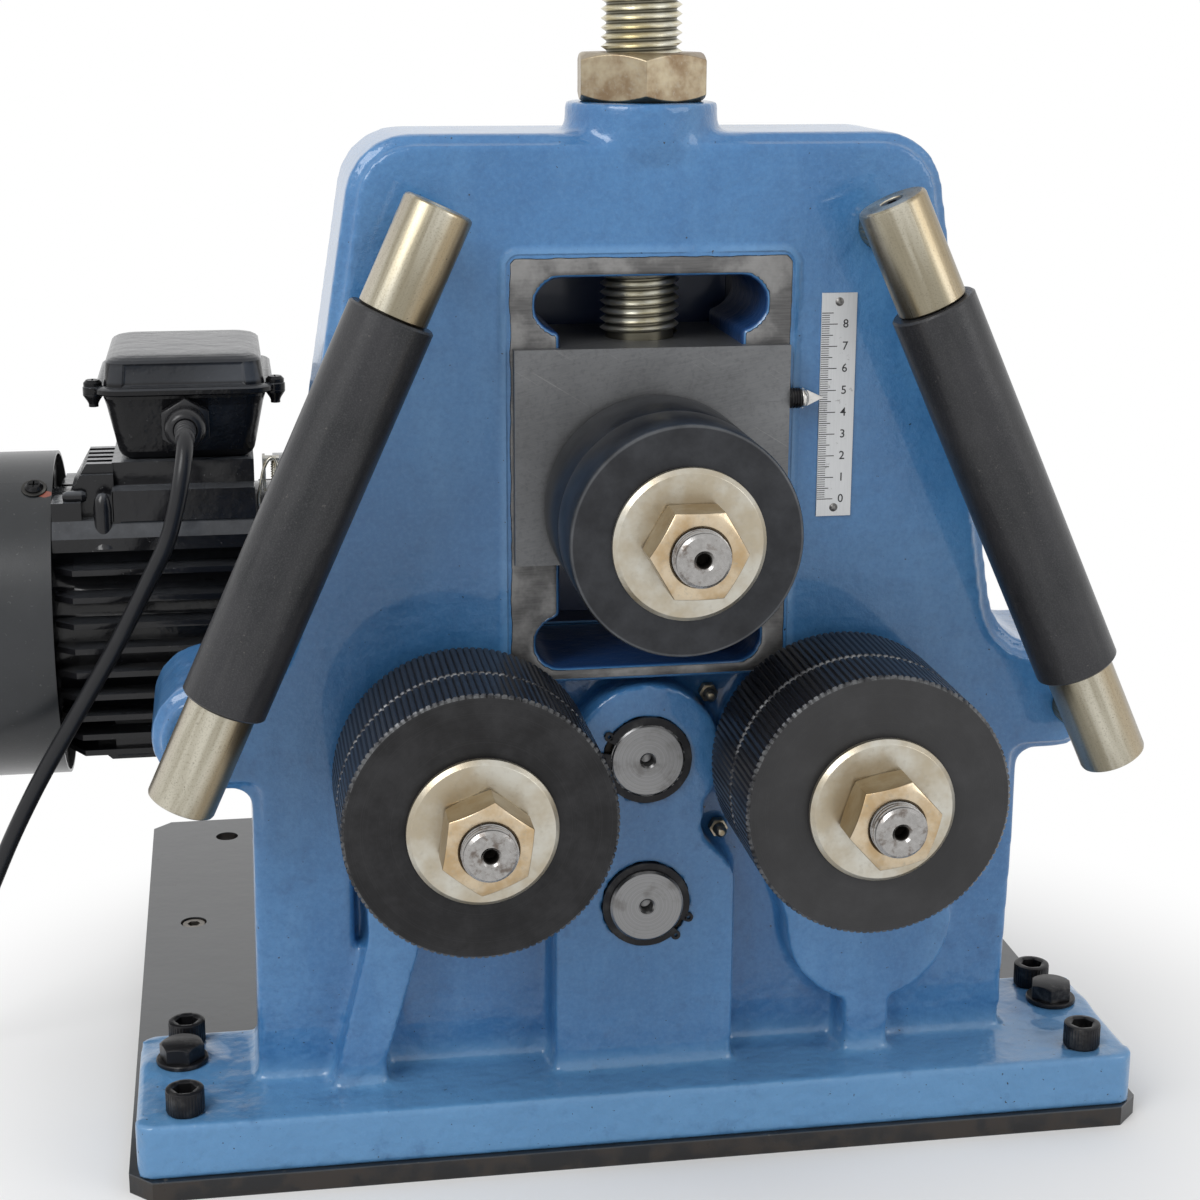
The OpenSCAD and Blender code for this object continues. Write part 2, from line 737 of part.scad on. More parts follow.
// Places children with their Z axis down the guide bar on side s, from its top end
module on_guide(s) {
    translate([s * guide_top_x, -guide_y, guide_top_z])
        rotate([0, 180 - s * guide_tilt, 0])
            children();
}
module guide_end() {
    difference() {
        rotate_extrude()
            polygon([[0, 0], [guide_end_r - end_chamfer, 0], [guide_end_r, end_chamfer],
                [guide_end_r, guide_end_len - end_chamfer / 2], [guide_end_r - end_chamfer / 2, guide_end_len],
                [0, guide_end_len]]);
        translate([0, 0, -over])
            cylinder(r = grub_r, h = stud_inset - spigot_r + over + spigot_r);
        translate([0, 0, guide_end_len - axle_in])
            cylinder(r = axle_r, h = axle_in + over);
        translate([0, 0, stud_inset])
            rotate([-90, 0, 0])
                translate([0, 0, -guide_end_r - over])
                    cylinder(r = spigot_r, h = 2 * guide_end_r + 2 * over);
    }
}
module guide_bar_ends() {
    color(zinc)
    for (s = side_dirs)
        on_guide(s) {
            guide_end();
            translate([0, 0, guide_len])
                rotate([180, 0, 0])
                    guide_end();
        }
}
module guide_axles() {
    color(steel)
    for (s = side_dirs)
        on_guide(s)
            translate([0, 0, guide_end_len - axle_in])
                cylinder(r = axle_r, h = guide_len - 2 * (guide_end_len - axle_in));
}
module guide_studs() {
    color(zinc)
    for (s = side_dirs)
        for (p = [stud_up, stud_low])
            turned_y(s * p[0], p[1], [[0, -guide_y - guide_end_r + end_chamfer],
                [spigot_r, -guide_y - guide_end_r + end_chamfer], [spigot_r, -guide_y + guide_end_r],
                [stud_r, -guide_y + guide_end_r], [stud_r, 0], [spigot_r, 0], [spigot_r, stud_depth - over],
                [0, stud_depth - over]]);
}
module guide_grub_screws() {
    color(black)
    for (s = side_dirs)
        on_guide(s)
            for (at = [0, 1])
                translate([0, 0, at * guide_len])
                    rotate([at * 180, 0, 0])
                        difference() {
                            translate([0, 0, over / 4])
                                cylinder(r = grub_r, h = grub_len - over / 4);
                            cylinder(r = grub_r / 2, h = grub_len / 2, $fn = 6);
                        }
}
module guide_sleeve(s) {
    color(black)
    on_guide(s)
        translate([0, 0, guide_end_len + face_gap])
            ring(sleeve_d / 2, axle_r + run_gap, guide_len - 2 * guide_end_len - 2 * face_gap, edge_chamfer);
}
module left_guide_sleeve() {
    guide_sleeve(-1);
}
module right_guide_sleeve() {
    guide_sleeve(1);
}

// Worm gearbox behind the frame: one housing for the wheel and the worm, bolted to the base plate
worm_z = drive_z + worm_centre;
wheel_half_w = 20;
worm_r = 20;
wheel_r = worm_centre - worm_r - face_gap;
wheel_room_r = wheel_r + 4;
worm_room_r = 28;
gearbox_wall = 9;
gearbox_half_d = 46;
gearbox_half_w = 86;
gearbox_foot_h = 14;
gearbox_foot_w = 26;
gearbox_foot_x = gearbox_half_w + gearbox_foot_w / 2;
gearbox_foot_ys = [motor_y - gearbox_half_d + 16, motor_y + gearbox_half_d - 16];
gearbox_bolt_d = 10;
motor_flange_r = 83;
input_flange_t = 12;
input_neck_r = 48;
tube_end_x = 78;
output_boss_r = 34;
output_boss_t = 8;
rotor_r = 12;
bolt_circle_r = 75;
flange_bolt_d = 8;
flange_angles = [45, 135, 225, 315];
module gearbox_housing() {
    y0 = motor_y - gearbox_half_d;
    y1 = motor_y + gearbox_half_d;
    color(black)
    difference() {
        union() {
            rod_y(0, drive_z, wheel_room_r + gearbox_wall, y0, y1);
            block([-gearbox_half_w, y0, plate_t], [gearbox_half_w, y1, drive_z]);
            block([-gearbox_half_w - gearbox_foot_w, y0, plate_t],
                [gearbox_half_w + gearbox_foot_w, y1, plate_t + gearbox_foot_h]);
            rod_y(0, drive_z, output_boss_r, y0 - output_boss_t, y1 + output_boss_t);
            rod_x(motor_y, worm_z, worm_room_r + gearbox_wall, -tube_end_x, tube_end_x);
            rod_x(motor_y, worm_z, input_neck_r, -flange_x + over, -tube_end_x + over);
            rod_x(motor_y, worm_z, motor_flange_r, -flange_x, -flange_x + input_flange_t);
            block([-worm_room_r - gearbox_wall * 2, motor_y - worm_room_r - gearbox_wall, drive_z],
                [worm_room_r + gearbox_wall * 2, motor_y + worm_room_r + gearbox_wall, worm_z]);
        }
        rod_y(0, drive_z, wheel_room_r, y0 + gearbox_wall, y1 - gearbox_wall);
        rod_y(0, drive_z, gear_shaft_r + run_gap, y0 - output_boss_t - over, y1 + output_boss_t + over);
        rod_x(motor_y, worm_z, worm_room_r, -tube_end_x + gearbox_wall, tube_end_x - gearbox_wall);
        rod_x(motor_y, worm_z, rotor_r + run_gap, -flange_x - over, tube_end_x + over);
        for (s = side_dirs)
            for (y = gearbox_foot_ys)
                rod_z(s * gearbox_foot_x, y, gearbox_bolt_d / 2, plate_t - over, plate_t + gearbox_foot_h + over);
        for (a = flange_angles)
            rod_x(motor_y + bolt_circle_r * cos(a), worm_z + bolt_circle_r * sin(a), flange_bolt_d / 2,
                -flange_x - over, -flange_x + input_flange_t + over);
    }
}
module gearbox_bolts() {
    color(zinc)
    for (s = side_dirs)
        for (y = gearbox_foot_ys)
            translate([s * gearbox_foot_x, y, plate_t + gearbox_foot_h])
                socket_screw(gearbox_bolt_d, plate_t + gearbox_foot_h - bolt_end_gap);
}
module motor_flange_bolts() {
    color(bright)
    for (a = flange_angles)
        translate([-flange_x - motor_flange_t, motor_y + bolt_circle_r * cos(a), worm_z + bolt_circle_r * sin(a)])
            rotate([0, -90, 0]) {
                socket_screw(flange_bolt_d, motor_flange_t + input_flange_t + flange_bolt_d);
                translate([0, 0, -motor_flange_t - input_flange_t - flange_bolt_d])
                    hex_nut(flange_bolt_d * 1.6, flange_bolt_d * 0.9, flange_bolt_d / 2);
            }
}

// Motor: finned housing with its flange and end shield, cowl, fan and rotor
motor_flange_t = 13;
barrel_r = 68;
fin_r = 83;
fin_t = 3;
fin_count = 5;
fin_start_x = flange_x + motor_flange_t;
bolt_room = 11;
fin_end_x = cowl_x - 10;
barrel_end_x = cowl_x + 4;
barrel_room_r = 60;
shield_t = 12;
shield_end_x = barrel_end_x + shield_t;
lug_w = 16;
cowl_t = 1.6;
cowl_end_r = 14;
lug_reach = cowl_r - cowl_t - 0.45;
box_x = flange_x + 58;
box_seat_z = worm_z + fin_r + 8.4;
box_pad_inset = 3;
box_pad_step = 12;
foot_pad_w = 88;
foot_pad_d = 96;
foot_pad_drop = 70;
cowl_angles = [62, 118, 270];
cowl_screw_inset = 9;
motor_screw_d = 5;
core_r = 48;
grille_r = 60;
grille_w = 4;
grille_count = 6;
lead_hole_r = 12;
// An outline in Y and Z about the motor's axis, made solid from x0 to x1
module along_motor(x0, x1) {
    translate([x0, motor_y, worm_z])
        rotate([90, 0, 90])
            linear_extrude(height = x1 - x0)
                children();
}
// One side of the finned body, upwards along the fins
function fin_side(s) = [for (i = [-fin_count:fin_count])
    let (k = -s * i, z = k * fin_pitch, root = sqrt(pow(barrel_r, 2) - pow(z, 2)), tip = sqrt(pow(fin_r, 2) - pow(z, 2)))
    each [[s * root, z + s * fin_t / 2], [s * tip, z + s * fin_t / 2], [s * tip, z - s * fin_t / 2],
        [s * root, z - s * fin_t / 2]]];
module motor_housing() {
    color(black)
    difference() {
        union() {
            rod_x(motor_y, worm_z, motor_flange_r, -fin_start_x, -flange_x);
            rod_x(motor_y, worm_z, barrel_r, -shield_end_x, -fin_start_x + over);
            along_motor(-fin_end_x, -fin_start_x - bolt_room)
                polygon(concat(fin_side(-1), fin_side(1)));
            block([-box_x - box_w / 2 + box_pad_inset, motor_y - box_d / 2 + box_pad_inset, worm_z + barrel_r / 2],
                [-fin_start_x - bolt_room, motor_y + box_d / 2 - box_pad_inset, box_seat_z]);
            block([-box_x - box_w / 2 + box_pad_inset, motor_y - box_d / 2 - box_pad_step, box_seat_z - 28],
                [-fin_start_x - bolt_room, motor_y + box_d / 2 + box_pad_step, box_seat_z - box_pad_step]);
            block([-box_x - foot_pad_w / 2, motor_y - foot_pad_d / 2, worm_z - foot_pad_drop],
                [-fin_start_x - bolt_room, motor_y + foot_pad_d / 2, worm_z - barrel_r / 2]);
            for (a = cowl_angles)
                along_motor(-shield_end_x, -barrel_end_x)
                    rotate(a)
                        translate([barrel_room_r, -lug_w / 2])
                            square([lug_reach - barrel_room_r, lug_w]);
        }
        rod_x(motor_y, worm_z, barrel_room_r, -barrel_end_x, -fin_start_x);
        rod_x(motor_y, worm_z, rotor_r + run_gap, -shield_end_x - over, -flange_x + over);
        for (a = flange_angles)
            rod_x(motor_y + bolt_circle_r * cos(a), worm_z + bolt_circle_r * sin(a), flange_bolt_d / 2,
                -fin_start_x - over, -flange_x + over);
        for (a = cowl_angles)
            on_cowl(a)
                cylinder(r = motor_screw_d / 2, h = cowl_r - barrel_r);
        rod_z(-box_x, motor_y, lead_hole_r, worm_z + barrel_room_r / 2, box_seat_z + over);
    }
}
// Places children on the cowl at angle a, with their Z axis pointing in to the motor's axis
module on_cowl(a) {
    translate([-cowl_x - cowl_screw_inset, motor_y, worm_z])
        rotate([a - 90, 0, 0])
            translate([0, 0, cowl_r])
                rotate([180, 0, 0])
                    children();
}
module motor_cowl() {
    end_x = -cowl_x - cowl_len;
    color(black)
    difference() {
        turned_x(motor_y, worm_z, [[cowl_r, -cowl_x], [cowl_r, end_x + cowl_end_r],
            [cowl_r - cowl_end_r * 0.3, end_x + cowl_end_r * 0.3], [cowl_r - cowl_end_r, end_x], [0, end_x],
            [0, end_x + cowl_t], [cowl_r - cowl_end_r, end_x + cowl_t],
            [cowl_r - cowl_end_r * 0.3 - cowl_t, end_x + cowl_end_r * 0.3 + cowl_t],
            [cowl_r - cowl_t, end_x + cowl_end_r], [cowl_r - cowl_t, -cowl_x]]);
        for (k = [-grille_count:grille_count])
            block([end_x - over, motor_y - sqrt(pow(grille_r, 2) - pow(k * grille_w * 2, 2)),
                    worm_z + k * grille_w * 2 - grille_w / 2],
                [end_x + cowl_t + over, motor_y + sqrt(pow(grille_r, 2) - pow(k * grille_w * 2, 2)),
                    worm_z + k * grille_w * 2 + grille_w / 2]);
        for (a = cowl_angles)
            on_cowl(a)
                translate([0, 0, -over])
                    cylinder(r = motor_screw_d / 2, h = cowl_t + 2 * over);
    }
}
// A pan head screw about Z, its head's underside at zero
pan_head_share = 0.95;
pan_h_share = 0.6;
module pan_screw(d, shank) {
    difference() {
        rotate_extrude()
            polygon([[0, -shank], [d / 2, -shank], [d / 2, 0], [d * pan_head_share, 0],
                [d * pan_head_share, d * pan_h_share / 2], [d * pan_head_share * 0.7, d * pan_h_share],
                [0, d * pan_h_share]]);
        for (a = [0, 90])
            rotate([0, 0, a])
                translate([-d / 2, -d / 12, d * pan_h_share / 2])
                    cube([d, d / 6, d]);
    }
}
module motor_screws() {
    color(black) {
        for (a = cowl_angles)
            on_cowl(a)
                rotate([180, 0, 0])
                    pan_screw(motor_screw_d, cowl_r - barrel_r - over);
        for (p = lid_places)
            translate([p[0], p[1], lid_z + lid_rim_t])
                pan_screw(motor_screw_d, lid_rim_t + lug_t - over / 2);
    }
}

// Terminal box on the motor, with its lid on a thin rim
box_wall = 3;
box_corner_r = 12;
lid_rim_t = 4;
lid_h = 20;
lid_rim = 4;
lug_t = 8;
lid_lug_r = 6;
lid_z = box_seat_z + box_h;
lid_places = [for (sx = side_dirs)
    [-box_x + sx * (box_w / 2 + lid_lug_r - 1), motor_y - box_d / 2 + box_corner_r]];
function box_outline(inset, r) = rounded(rect_corners(-box_x - box_w / 2 + inset, -box_x + box_w / 2 - inset,
    motor_y - box_d / 2 + inset, motor_y + box_d / 2 - inset, r));
box_front_y = motor_y - box_d / 2;
gland_up = 20;
gland_z = box_seat_z + gland_up;
gland_thread_r = 9;
module terminal_box() {
    color(black)
    difference() {
        union() {
            along_z(box_seat_z, lid_z)
                polygon(box_outline(0, box_corner_r));
            for (p = lid_places)
                rod_z(p[0], p[1], lid_lug_r, lid_z - lug_t, lid_z);
        }
        along_z(box_seat_z + box_wall, lid_z + over)
            polygon(box_outline(box_wall, box_corner_r - box_wall));
        rod_y(-box_x, gland_z, gland_thread_r, box_front_y - over, box_front_y + box_wall + over);
        rod_z(-box_x, motor_y, lead_hole_r, box_seat_z - over, box_seat_z + box_wall + over);
        for (p = lid_places)
            rod_z(p[0], p[1], motor_screw_d / 2, lid_z - lug_t - over, lid_z + over);
    }
}
module terminal_box_lid() {
    color(black)
    difference() {
        union() {
            along_z(lid_z, lid_z + lid_rim_t)
                polygon(box_outline(-lid_rim, box_corner_r + lid_rim));
            for (p = lid_places)
                rod_z(p[0], p[1], lid_lug_r, lid_z, lid_z + lid_rim_t);
            along_z(lid_z + lid_rim_t / 2, lid_z + lid_h - lid_rim_t)
                polygon(box_outline(0, box_corner_r));
            along_z(lid_z + lid_rim_t, lid_z + lid_h)
                polygon(box_outline(lid_rim_t, box_corner_r));
        }
        along_z(lid_z - over, lid_z + lid_h - 2 * box_wall)
            polygon(box_outline(box_wall + lid_rim_t / 2, box_corner_r - box_wall));
        for (p = lid_places)
            rod_z(p[0], p[1], motor_screw_d / 2, lid_z - over, lid_z + lid_rim_t + over);
    }
}

// Cable gland: threaded body with a hexagon, a domed nut and a bore that the cord ends against
gland_af = 24;
gland_hex_t = 7;
gland_nut_r = 10.8;
gland_len = 20;
gland_face_y = box_front_y - gland_len;
module cable_gland() {
    color(black) {
        difference() {
            union() {
                translate([-box_x, box_front_y, gland_z])
                    rotate([90, 0, 0])
                        rotate([0, 0, 30])
                            cylinder(r = gland_af / 2 / cos(30), h = gland_hex_t, $fn = 6);
                turned_y(-box_x, gland_z, [[0, gland_face_y], [cord_d / 2 + 2, gland_face_y],
                    [gland_nut_r - 1, gland_face_y + 4], [gland_nut_r, gland_face_y + gland_len / 2],
                    [gland_nut_r, box_front_y - gland_hex_t / 2], [gland_thread_r, box_front_y - gland_hex_t / 2],
                    [gland_thread_r, box_front_y + box_wall], [0, box_front_y + box_wall]]);
            }
            rod_y(-box_x, gland_z, cord_d / 2 - 1, gland_face_y + 4, box_front_y + box_wall + over);
        }
        difference() {
            turned_y(-box_x, gland_z, [[gland_thread_r, box_front_y + box_wall],
                [gland_thread_r, box_front_y + 2 * box_wall], [gland_nut_r, box_front_y + 2 * box_wall],
                [gland_nut_r, box_front_y + box_wall]]);
            rod_y(-box_x, gland_z, gland_thread_r - box_wall, box_front_y, box_front_y + 3 * box_wall);
        }
    }
}

// Rotor: its shaft runs on into the gearbox, where the worm is cut on it
worm_half_len = 45;
worm_pitch = 14;
worm_root_r = 15;
rotor_tail = 60;
rotor_tail_x = cowl_x + rotor_tail;
core_gap = 12;
fan_hub_r = 22;
fan_r = 74;
fan_t = 3;
fan_blade_w = 20;
fan_blades = 7;
fan_x = shield_end_x + 10;
module motor_rotor() {
    turns = floor(2 * worm_half_len / worm_pitch) - 1;
    start = -worm_half_len + (2 * worm_half_len - turns * worm_pitch) / 2;
    color(steel)
    turned_x(motor_y, worm_z, concat([[0, -rotor_tail_x], [rotor_r, -rotor_tail_x],
        [rotor_r, -barrel_end_x + core_gap], [core_r, -barrel_end_x + core_gap], [core_r, -fin_start_x - core_gap],
        [rotor_r, -fin_start_x - core_gap], [rotor_r, -worm_half_len], [worm_r, -worm_half_len]],
        [for (i = [0:turns - 1]) each [
            [worm_r, start + (i + 0.25) * worm_pitch],
            [worm_root_r, start + (i + 0.4) * worm_pitch],
            [worm_root_r, start + (i + 0.6) * worm_pitch],
            [worm_r, start + (i + 0.75) * worm_pitch]]],
        [[worm_r, worm_half_len], [rotor_r, worm_half_len], [rotor_r, tube_end_x - gearbox_wall / 2],
            [0, tube_end_x - gearbox_wall / 2]]));
}
module motor_fan() {
    color(black)
    difference() {
        union() {
            rod_x(motor_y, worm_z, fan_r, -fan_x - fan_t, -fan_x);
            rod_x(motor_y, worm_z, fan_hub_r, -fan_x - fan_blade_w, -fan_x);
            for (i = [0:fan_blades - 1])
                translate([-fan_x - fan_blade_w, motor_y, worm_z])
                    rotate([360 / fan_blades * i, 0, 0])
                        translate([0, -fan_t / 2, fan_hub_r - over])
                            cube([fan_blade_w - fan_t / 2, fan_t, fan_r - fan_hub_r]);
        }
        rod_x(motor_y, worm_z, rotor_r, -fan_x - fan_blade_w - over, -fan_x + over);
    }
}

// Grease nipples for the two gear shafts, in the recess beside them
nipple_shank_r = 3;
nipple_shank = 6;
nipple_places = [[32.5, 219.2], [38.5, 151]];
nipple_hex_r = 4.6;
nipple_ball_r = 3;
module grease_nipples() {
    color(zinc)
    for (p = nipple_places)
        translate([p[0], relief_d, p[1]])
            rotate([90, 0, 0]) {
                cylinder(r = nipple_hex_r, h = nipple_hex_r, $fn = 6);
                rotate_extrude()
                    polygon([[0, -nipple_shank], [nipple_shank_r, -nipple_shank], [nipple_shank_r, nipple_hex_r],
                        [nipple_ball_r * 0.7, nipple_hex_r * 1.4], [nipple_ball_r, nipple_hex_r * 2],
                        [nipple_ball_r / 2, nipple_hex_r * 2.4], [0, nipple_hex_r * 2.4]]);
            }
}

// Sliding block with its front flange, keeper plate, bushes, pointer and the pins that hold the screw's end
keeper_w = 100;
keeper_t = 8;
keeper_inset = 10;
keeper_screw_d = 8;
keeper_screw_inset = 9;
screw_end_r = 14;
screw_end_len = 30;
groove_r = 11;
pin_r = 3;
pin_len = 40;
pin_drop = 14;
keeper_y = wall_d + run_gap;
keeper_places = [for (sx = side_dirs) for (z = [block_z + keeper_inset + keeper_screw_inset,
    block_top - keeper_inset - keeper_screw_inset]) [sx * (slot_w / 2 - keeper_screw_inset), z]];
pin_y_offset = groove_r + pin_r + 0.1;
pointer_r = 3.9;
pointer_y = pad_y - pointer_r - 0.6;
pointer_z = block_z + 73;
pointer_stud_r = 1.6;
pointer_stud_in = 10;
module slide_block() {
    color(steel)
    difference() {
        union() {
            block([-block_w / 2, block_front, block_z], [block_w / 2, pad_y - run_gap, block_top]);
            block([-slot_w / 2 + run_gap, pad_y - run_gap - over, block_z],
                [slot_w / 2 - run_gap, keeper_y, block_top]);
        }
        rod_y(0, top_roll_z, block_bush_r, block_front - over, keeper_y + over);
        rod_z(0, screw_y, screw_end_r + run_gap, block_top - screw_end_len - 1, block_top + over);
        for (s = side_dirs)
            rod_x(screw_y + s * pin_y_offset, block_top - pin_drop, pin_r, -slot_w / 2 - over, pin_len / 2);
        for (p = keeper_places)
            rod_y(p[0], p[1], keeper_screw_d / 2, keeper_y - cover_screw_depth, keeper_y + over);
        rod_x(pointer_y, pointer_z, pointer_stud_r, block_w / 2 - pointer_stud_in, block_w / 2 + over);
    }
}
module block_keeper() {
    color(steel)
    difference() {
        block([-keeper_w / 2, keeper_y, block_z + keeper_inset],
            [keeper_w / 2, keeper_y + keeper_t, block_top - keeper_inset]);
        rod_y(0, top_roll_z, block_bush_r, keeper_y - over, keeper_y + keeper_t + over);
        for (p = keeper_places)
            rod_y(p[0], p[1], keeper_screw_d / 2, keeper_y - over, keeper_y + keeper_t + over);
    }
}
module keeper_screws() {
    color(black)
    for (p = keeper_places)
        translate([p[0], keeper_y + keeper_t, p[1]])
            rotate([-90, 0, 0])
                socket_screw(keeper_screw_d, keeper_t + cover_screw_depth - over);
}
block_bush_len = 24;
module block_bushes() {
    color(bronze) {
        bush_y(0, top_roll_z, block_bush_r, block_journal_r + run_gap, block_front, block_front + block_bush_len);
        bush_y(0, top_roll_z, block_bush_r, block_journal_r + run_gap, keeper_y + keeper_t - block_bush_len,
            keeper_y + keeper_t);
    }
}
pointer_nut_len = 6.5;
pointer_tip_len = 7.5;
pointer_ring_len = 1.6;
module pointer() {
    x0 = block_w / 2;
    x1 = x0 + pointer_nut_len;
    color(bright) {
        turned_x(pointer_y, pointer_z, [[0, x0 - pointer_stud_in], [pointer_stud_r, x0 - pointer_stud_in],
            [pointer_stud_r, x1], [pointer_r, x1], [pointer_r, x1 + pointer_ring_len],
            [0, x1 + pointer_ring_len + pointer_tip_len]]);
        difference() {
            rod_x(pointer_y, pointer_z, pointer_r, x0, x1);
            rod_x(pointer_y, pointer_z, pointer_stud_r, x0 - over, x1 + over);
        }
    }
}
module screw_retaining_pins() {
    color(steel)
    for (s = side_dirs)
        rod_x(screw_y + s * pin_y_offset, block_top - pin_drop, pin_r, -pin_len / 2, pin_len / 2);
}

// Adjusting screw with its lock nut, and the bar that turns it
thread_root_r = screw_d / 2 - screw_pitch * 0.61;
thread_len_up = lock_nut_t + travel_down + 14;
thread_top = wall_top + boss_h + thread_len_up;
hub_r = 25;
hub_h = 40;
hub_chamfer = 3;
hub_z = thread_top;
bar_z = hub_z + hub_h / 2;
thread_start = block_top + run_gap;
thread_turns = floor((thread_top - thread_start) / screw_pitch) - 1;
knob_r = 15;
module adjusting_screw() {
    r = screw_d / 2;
    z0 = block_top - screw_end_len;
    groove_z = block_top - pin_drop;
    groove_half = pin_r + 0.1;
    color(zinc)
    difference() {
        turned_z(0, screw_y, concat([[0, z0], [screw_end_r, z0], [screw_end_r, groove_z - groove_half],
            [groove_r, groove_z - groove_half], [groove_r, groove_z + groove_half],
            [screw_end_r, groove_z + groove_half], [screw_end_r, thread_start], [thread_root_r, thread_start]],
            [for (i = [0:thread_turns - 1]) each [
                [thread_root_r, thread_start + i * screw_pitch],
                [r, thread_start + (i + 0.5) * screw_pitch]]],
            [[thread_root_r, thread_start + thread_turns * screw_pitch], [thread_root_r, hub_z],
                [hub_r - hub_chamfer, hub_z], [hub_r, hub_z + hub_chamfer], [hub_r, hub_z + hub_h - hub_chamfer],
                [hub_r - hub_chamfer, hub_z + hub_h], [0, hub_z + hub_h]]));
        rod_x(screw_y, bar_z, bar_d / 2, -hub_r - over, hub_r + over);
    }
}
module lock_nut() {
    color(zinc)
    translate([0, screw_y, wall_top + boss_h])
        rotate([0, 0, 90])
            hex_nut(lock_nut_af, lock_nut_t, screw_d / 2 + run_gap);
}
module handle_bar() {
    color(bright)
    rod_x(screw_y, bar_z, bar_d / 2, -bar_len / 2, bar_len / 2);
}
module handle_knobs() {
    color(black)
    for (s = side_dirs)
        translate([s * bar_len / 2, screw_y, bar_z])
            difference() {
                sphere(r = knob_r);
                rotate([0, 90, 0])
                    translate([0, 0, s > 0 ? -knob_r - over : 0])
                        cylinder(r = bar_d / 2, h = knob_r + over);
            }
}

// Rolls: two rings each on a shaft, held by a large washer and a nut
low_ring_chamfer = 1.5;
centre_hole_r = 3;
centre_hole_depth = 8;
module roll_rings(x, z, r, chamfer) {
    translate([x, roll_face, z])
        rotate([-90, 0, 0])
            ring(r, roll_bore_d / 2, ring_front_w, chamfer);
    translate([x, ring_split, z])
        rotate([-90, 0, 0])
            ring(r, roll_bore_d / 2, ring_rear_w, chamfer);
}
module roll_washer(x, z) {
    color(zinc)
    translate([x, roll_face, z])
        rotate([90, 0, 0])
            ring(washer_d / 2, shaft_end_d / 2, washer_t, edge_chamfer);
}
module roll_nut(x, z, turn) {
    color(zinc)
    translate([x, washer_face, z])
        rotate([90, 0, 0])
            rotate([0, 0, turn])
                hex_nut(roll_nut_af, roll_nut_t, shaft_end_d / 2);
}
// The front end that every roll shaft has, as points of [radius, y] from the tip back to the collar's face
function shaft_nose() = [[0, shaft_tip + centre_hole_depth], [centre_hole_r, shaft_tip + centre_hole_depth],
    [centre_hole_r, shaft_tip], [shaft_end_d / 2 - edge_chamfer, shaft_tip], [shaft_end_d / 2, shaft_tip + edge_chamfer],
    [shaft_end_d / 2, roll_face], [roll_bore_d / 2, roll_face], [roll_bore_d / 2, roll_back]];
module low_roll_shaft(x) {
    color(steel)
    turned_y(x, low_roll_z, concat(shaft_nose(), [[collar_r, roll_back], [collar_r, -face_gap],
        [front_journal_r, -face_gap], [front_journal_r, front_wall_t + face_gap], [gear_seat_r, front_wall_t + face_gap],
        [gear_seat_r, gear_y + gear_w], [rear_journal_r, gear_y + gear_w], [rear_journal_r, bush_back + over],
        [0, bush_back + over]]));
}
module top_roll_rings() {
    color(black)
    roll_rings(0, top_roll_z, top_roll_d / 2, low_ring_chamfer);
}
module top_roll_shaft() {
    color(steel)
    turned_y(0, top_roll_z, concat(shaft_nose(), [[collar_r, roll_back], [collar_r, block_front - face_gap],
        [block_journal_r, block_front - face_gap], [block_journal_r, keeper_y + keeper_t + face_gap],
        [block_bush_r - over, keeper_y + keeper_t + face_gap],
        [block_bush_r - over, keeper_y + keeper_t + face_gap + circlip_t * 3],
        [0, keeper_y + keeper_t + face_gap + circlip_t * 3]]));
}
module top_roll_washer() {
    roll_washer(0, top_roll_z);
}
module top_roll_nut() {
    roll_nut(0, top_roll_z, 0);
}
module left_roll_rings() {
    color(black)
    roll_rings(-roll_x, low_roll_z, low_roll_d / 2, low_ring_chamfer);
}
module left_roll_shaft() {
    low_roll_shaft(-roll_x);
}
module left_roll_washer() {
    roll_washer(-roll_x, low_roll_z);
}
module left_roll_nut() {
    roll_nut(-roll_x, low_roll_z, 22);
}
// Gear teeth are turned so that each pair is in mesh at rest
idler_turn = 0;
mesh_angle = atan2(idler_drop, roll_x);
function partner_turn(turn_a, teeth_a, teeth_b, line) =
    line + 180 + (line - turn_a) * teeth_a / teeth_b + 180 / teeth_b;
module left_roll_gear() {
    color(steel)
    gear_y_axis(-roll_x, low_roll_z, roll_teeth, partner_turn(idler_turn, idler_teeth, roll_teeth, 180 - mesh_angle),
        gear_seat_r, gear_y, gear_y + gear_w);
}
module right_roll_rings() {
    color(black)
    roll_rings(roll_x, low_roll_z, low_roll_d / 2, low_ring_chamfer);
}
module right_roll_shaft() {
    low_roll_shaft(roll_x);
}
module right_roll_washer() {
    roll_washer(roll_x, low_roll_z);
}
module right_roll_nut() {
    roll_nut(roll_x, low_roll_z, 12);
}
module right_roll_gear() {
    color(steel)
    gear_y_axis(roll_x, low_roll_z, roll_teeth, partner_turn(idler_turn, idler_teeth, roll_teeth, mesh_angle),
        gear_seat_r, gear_y, gear_y + gear_w);
}

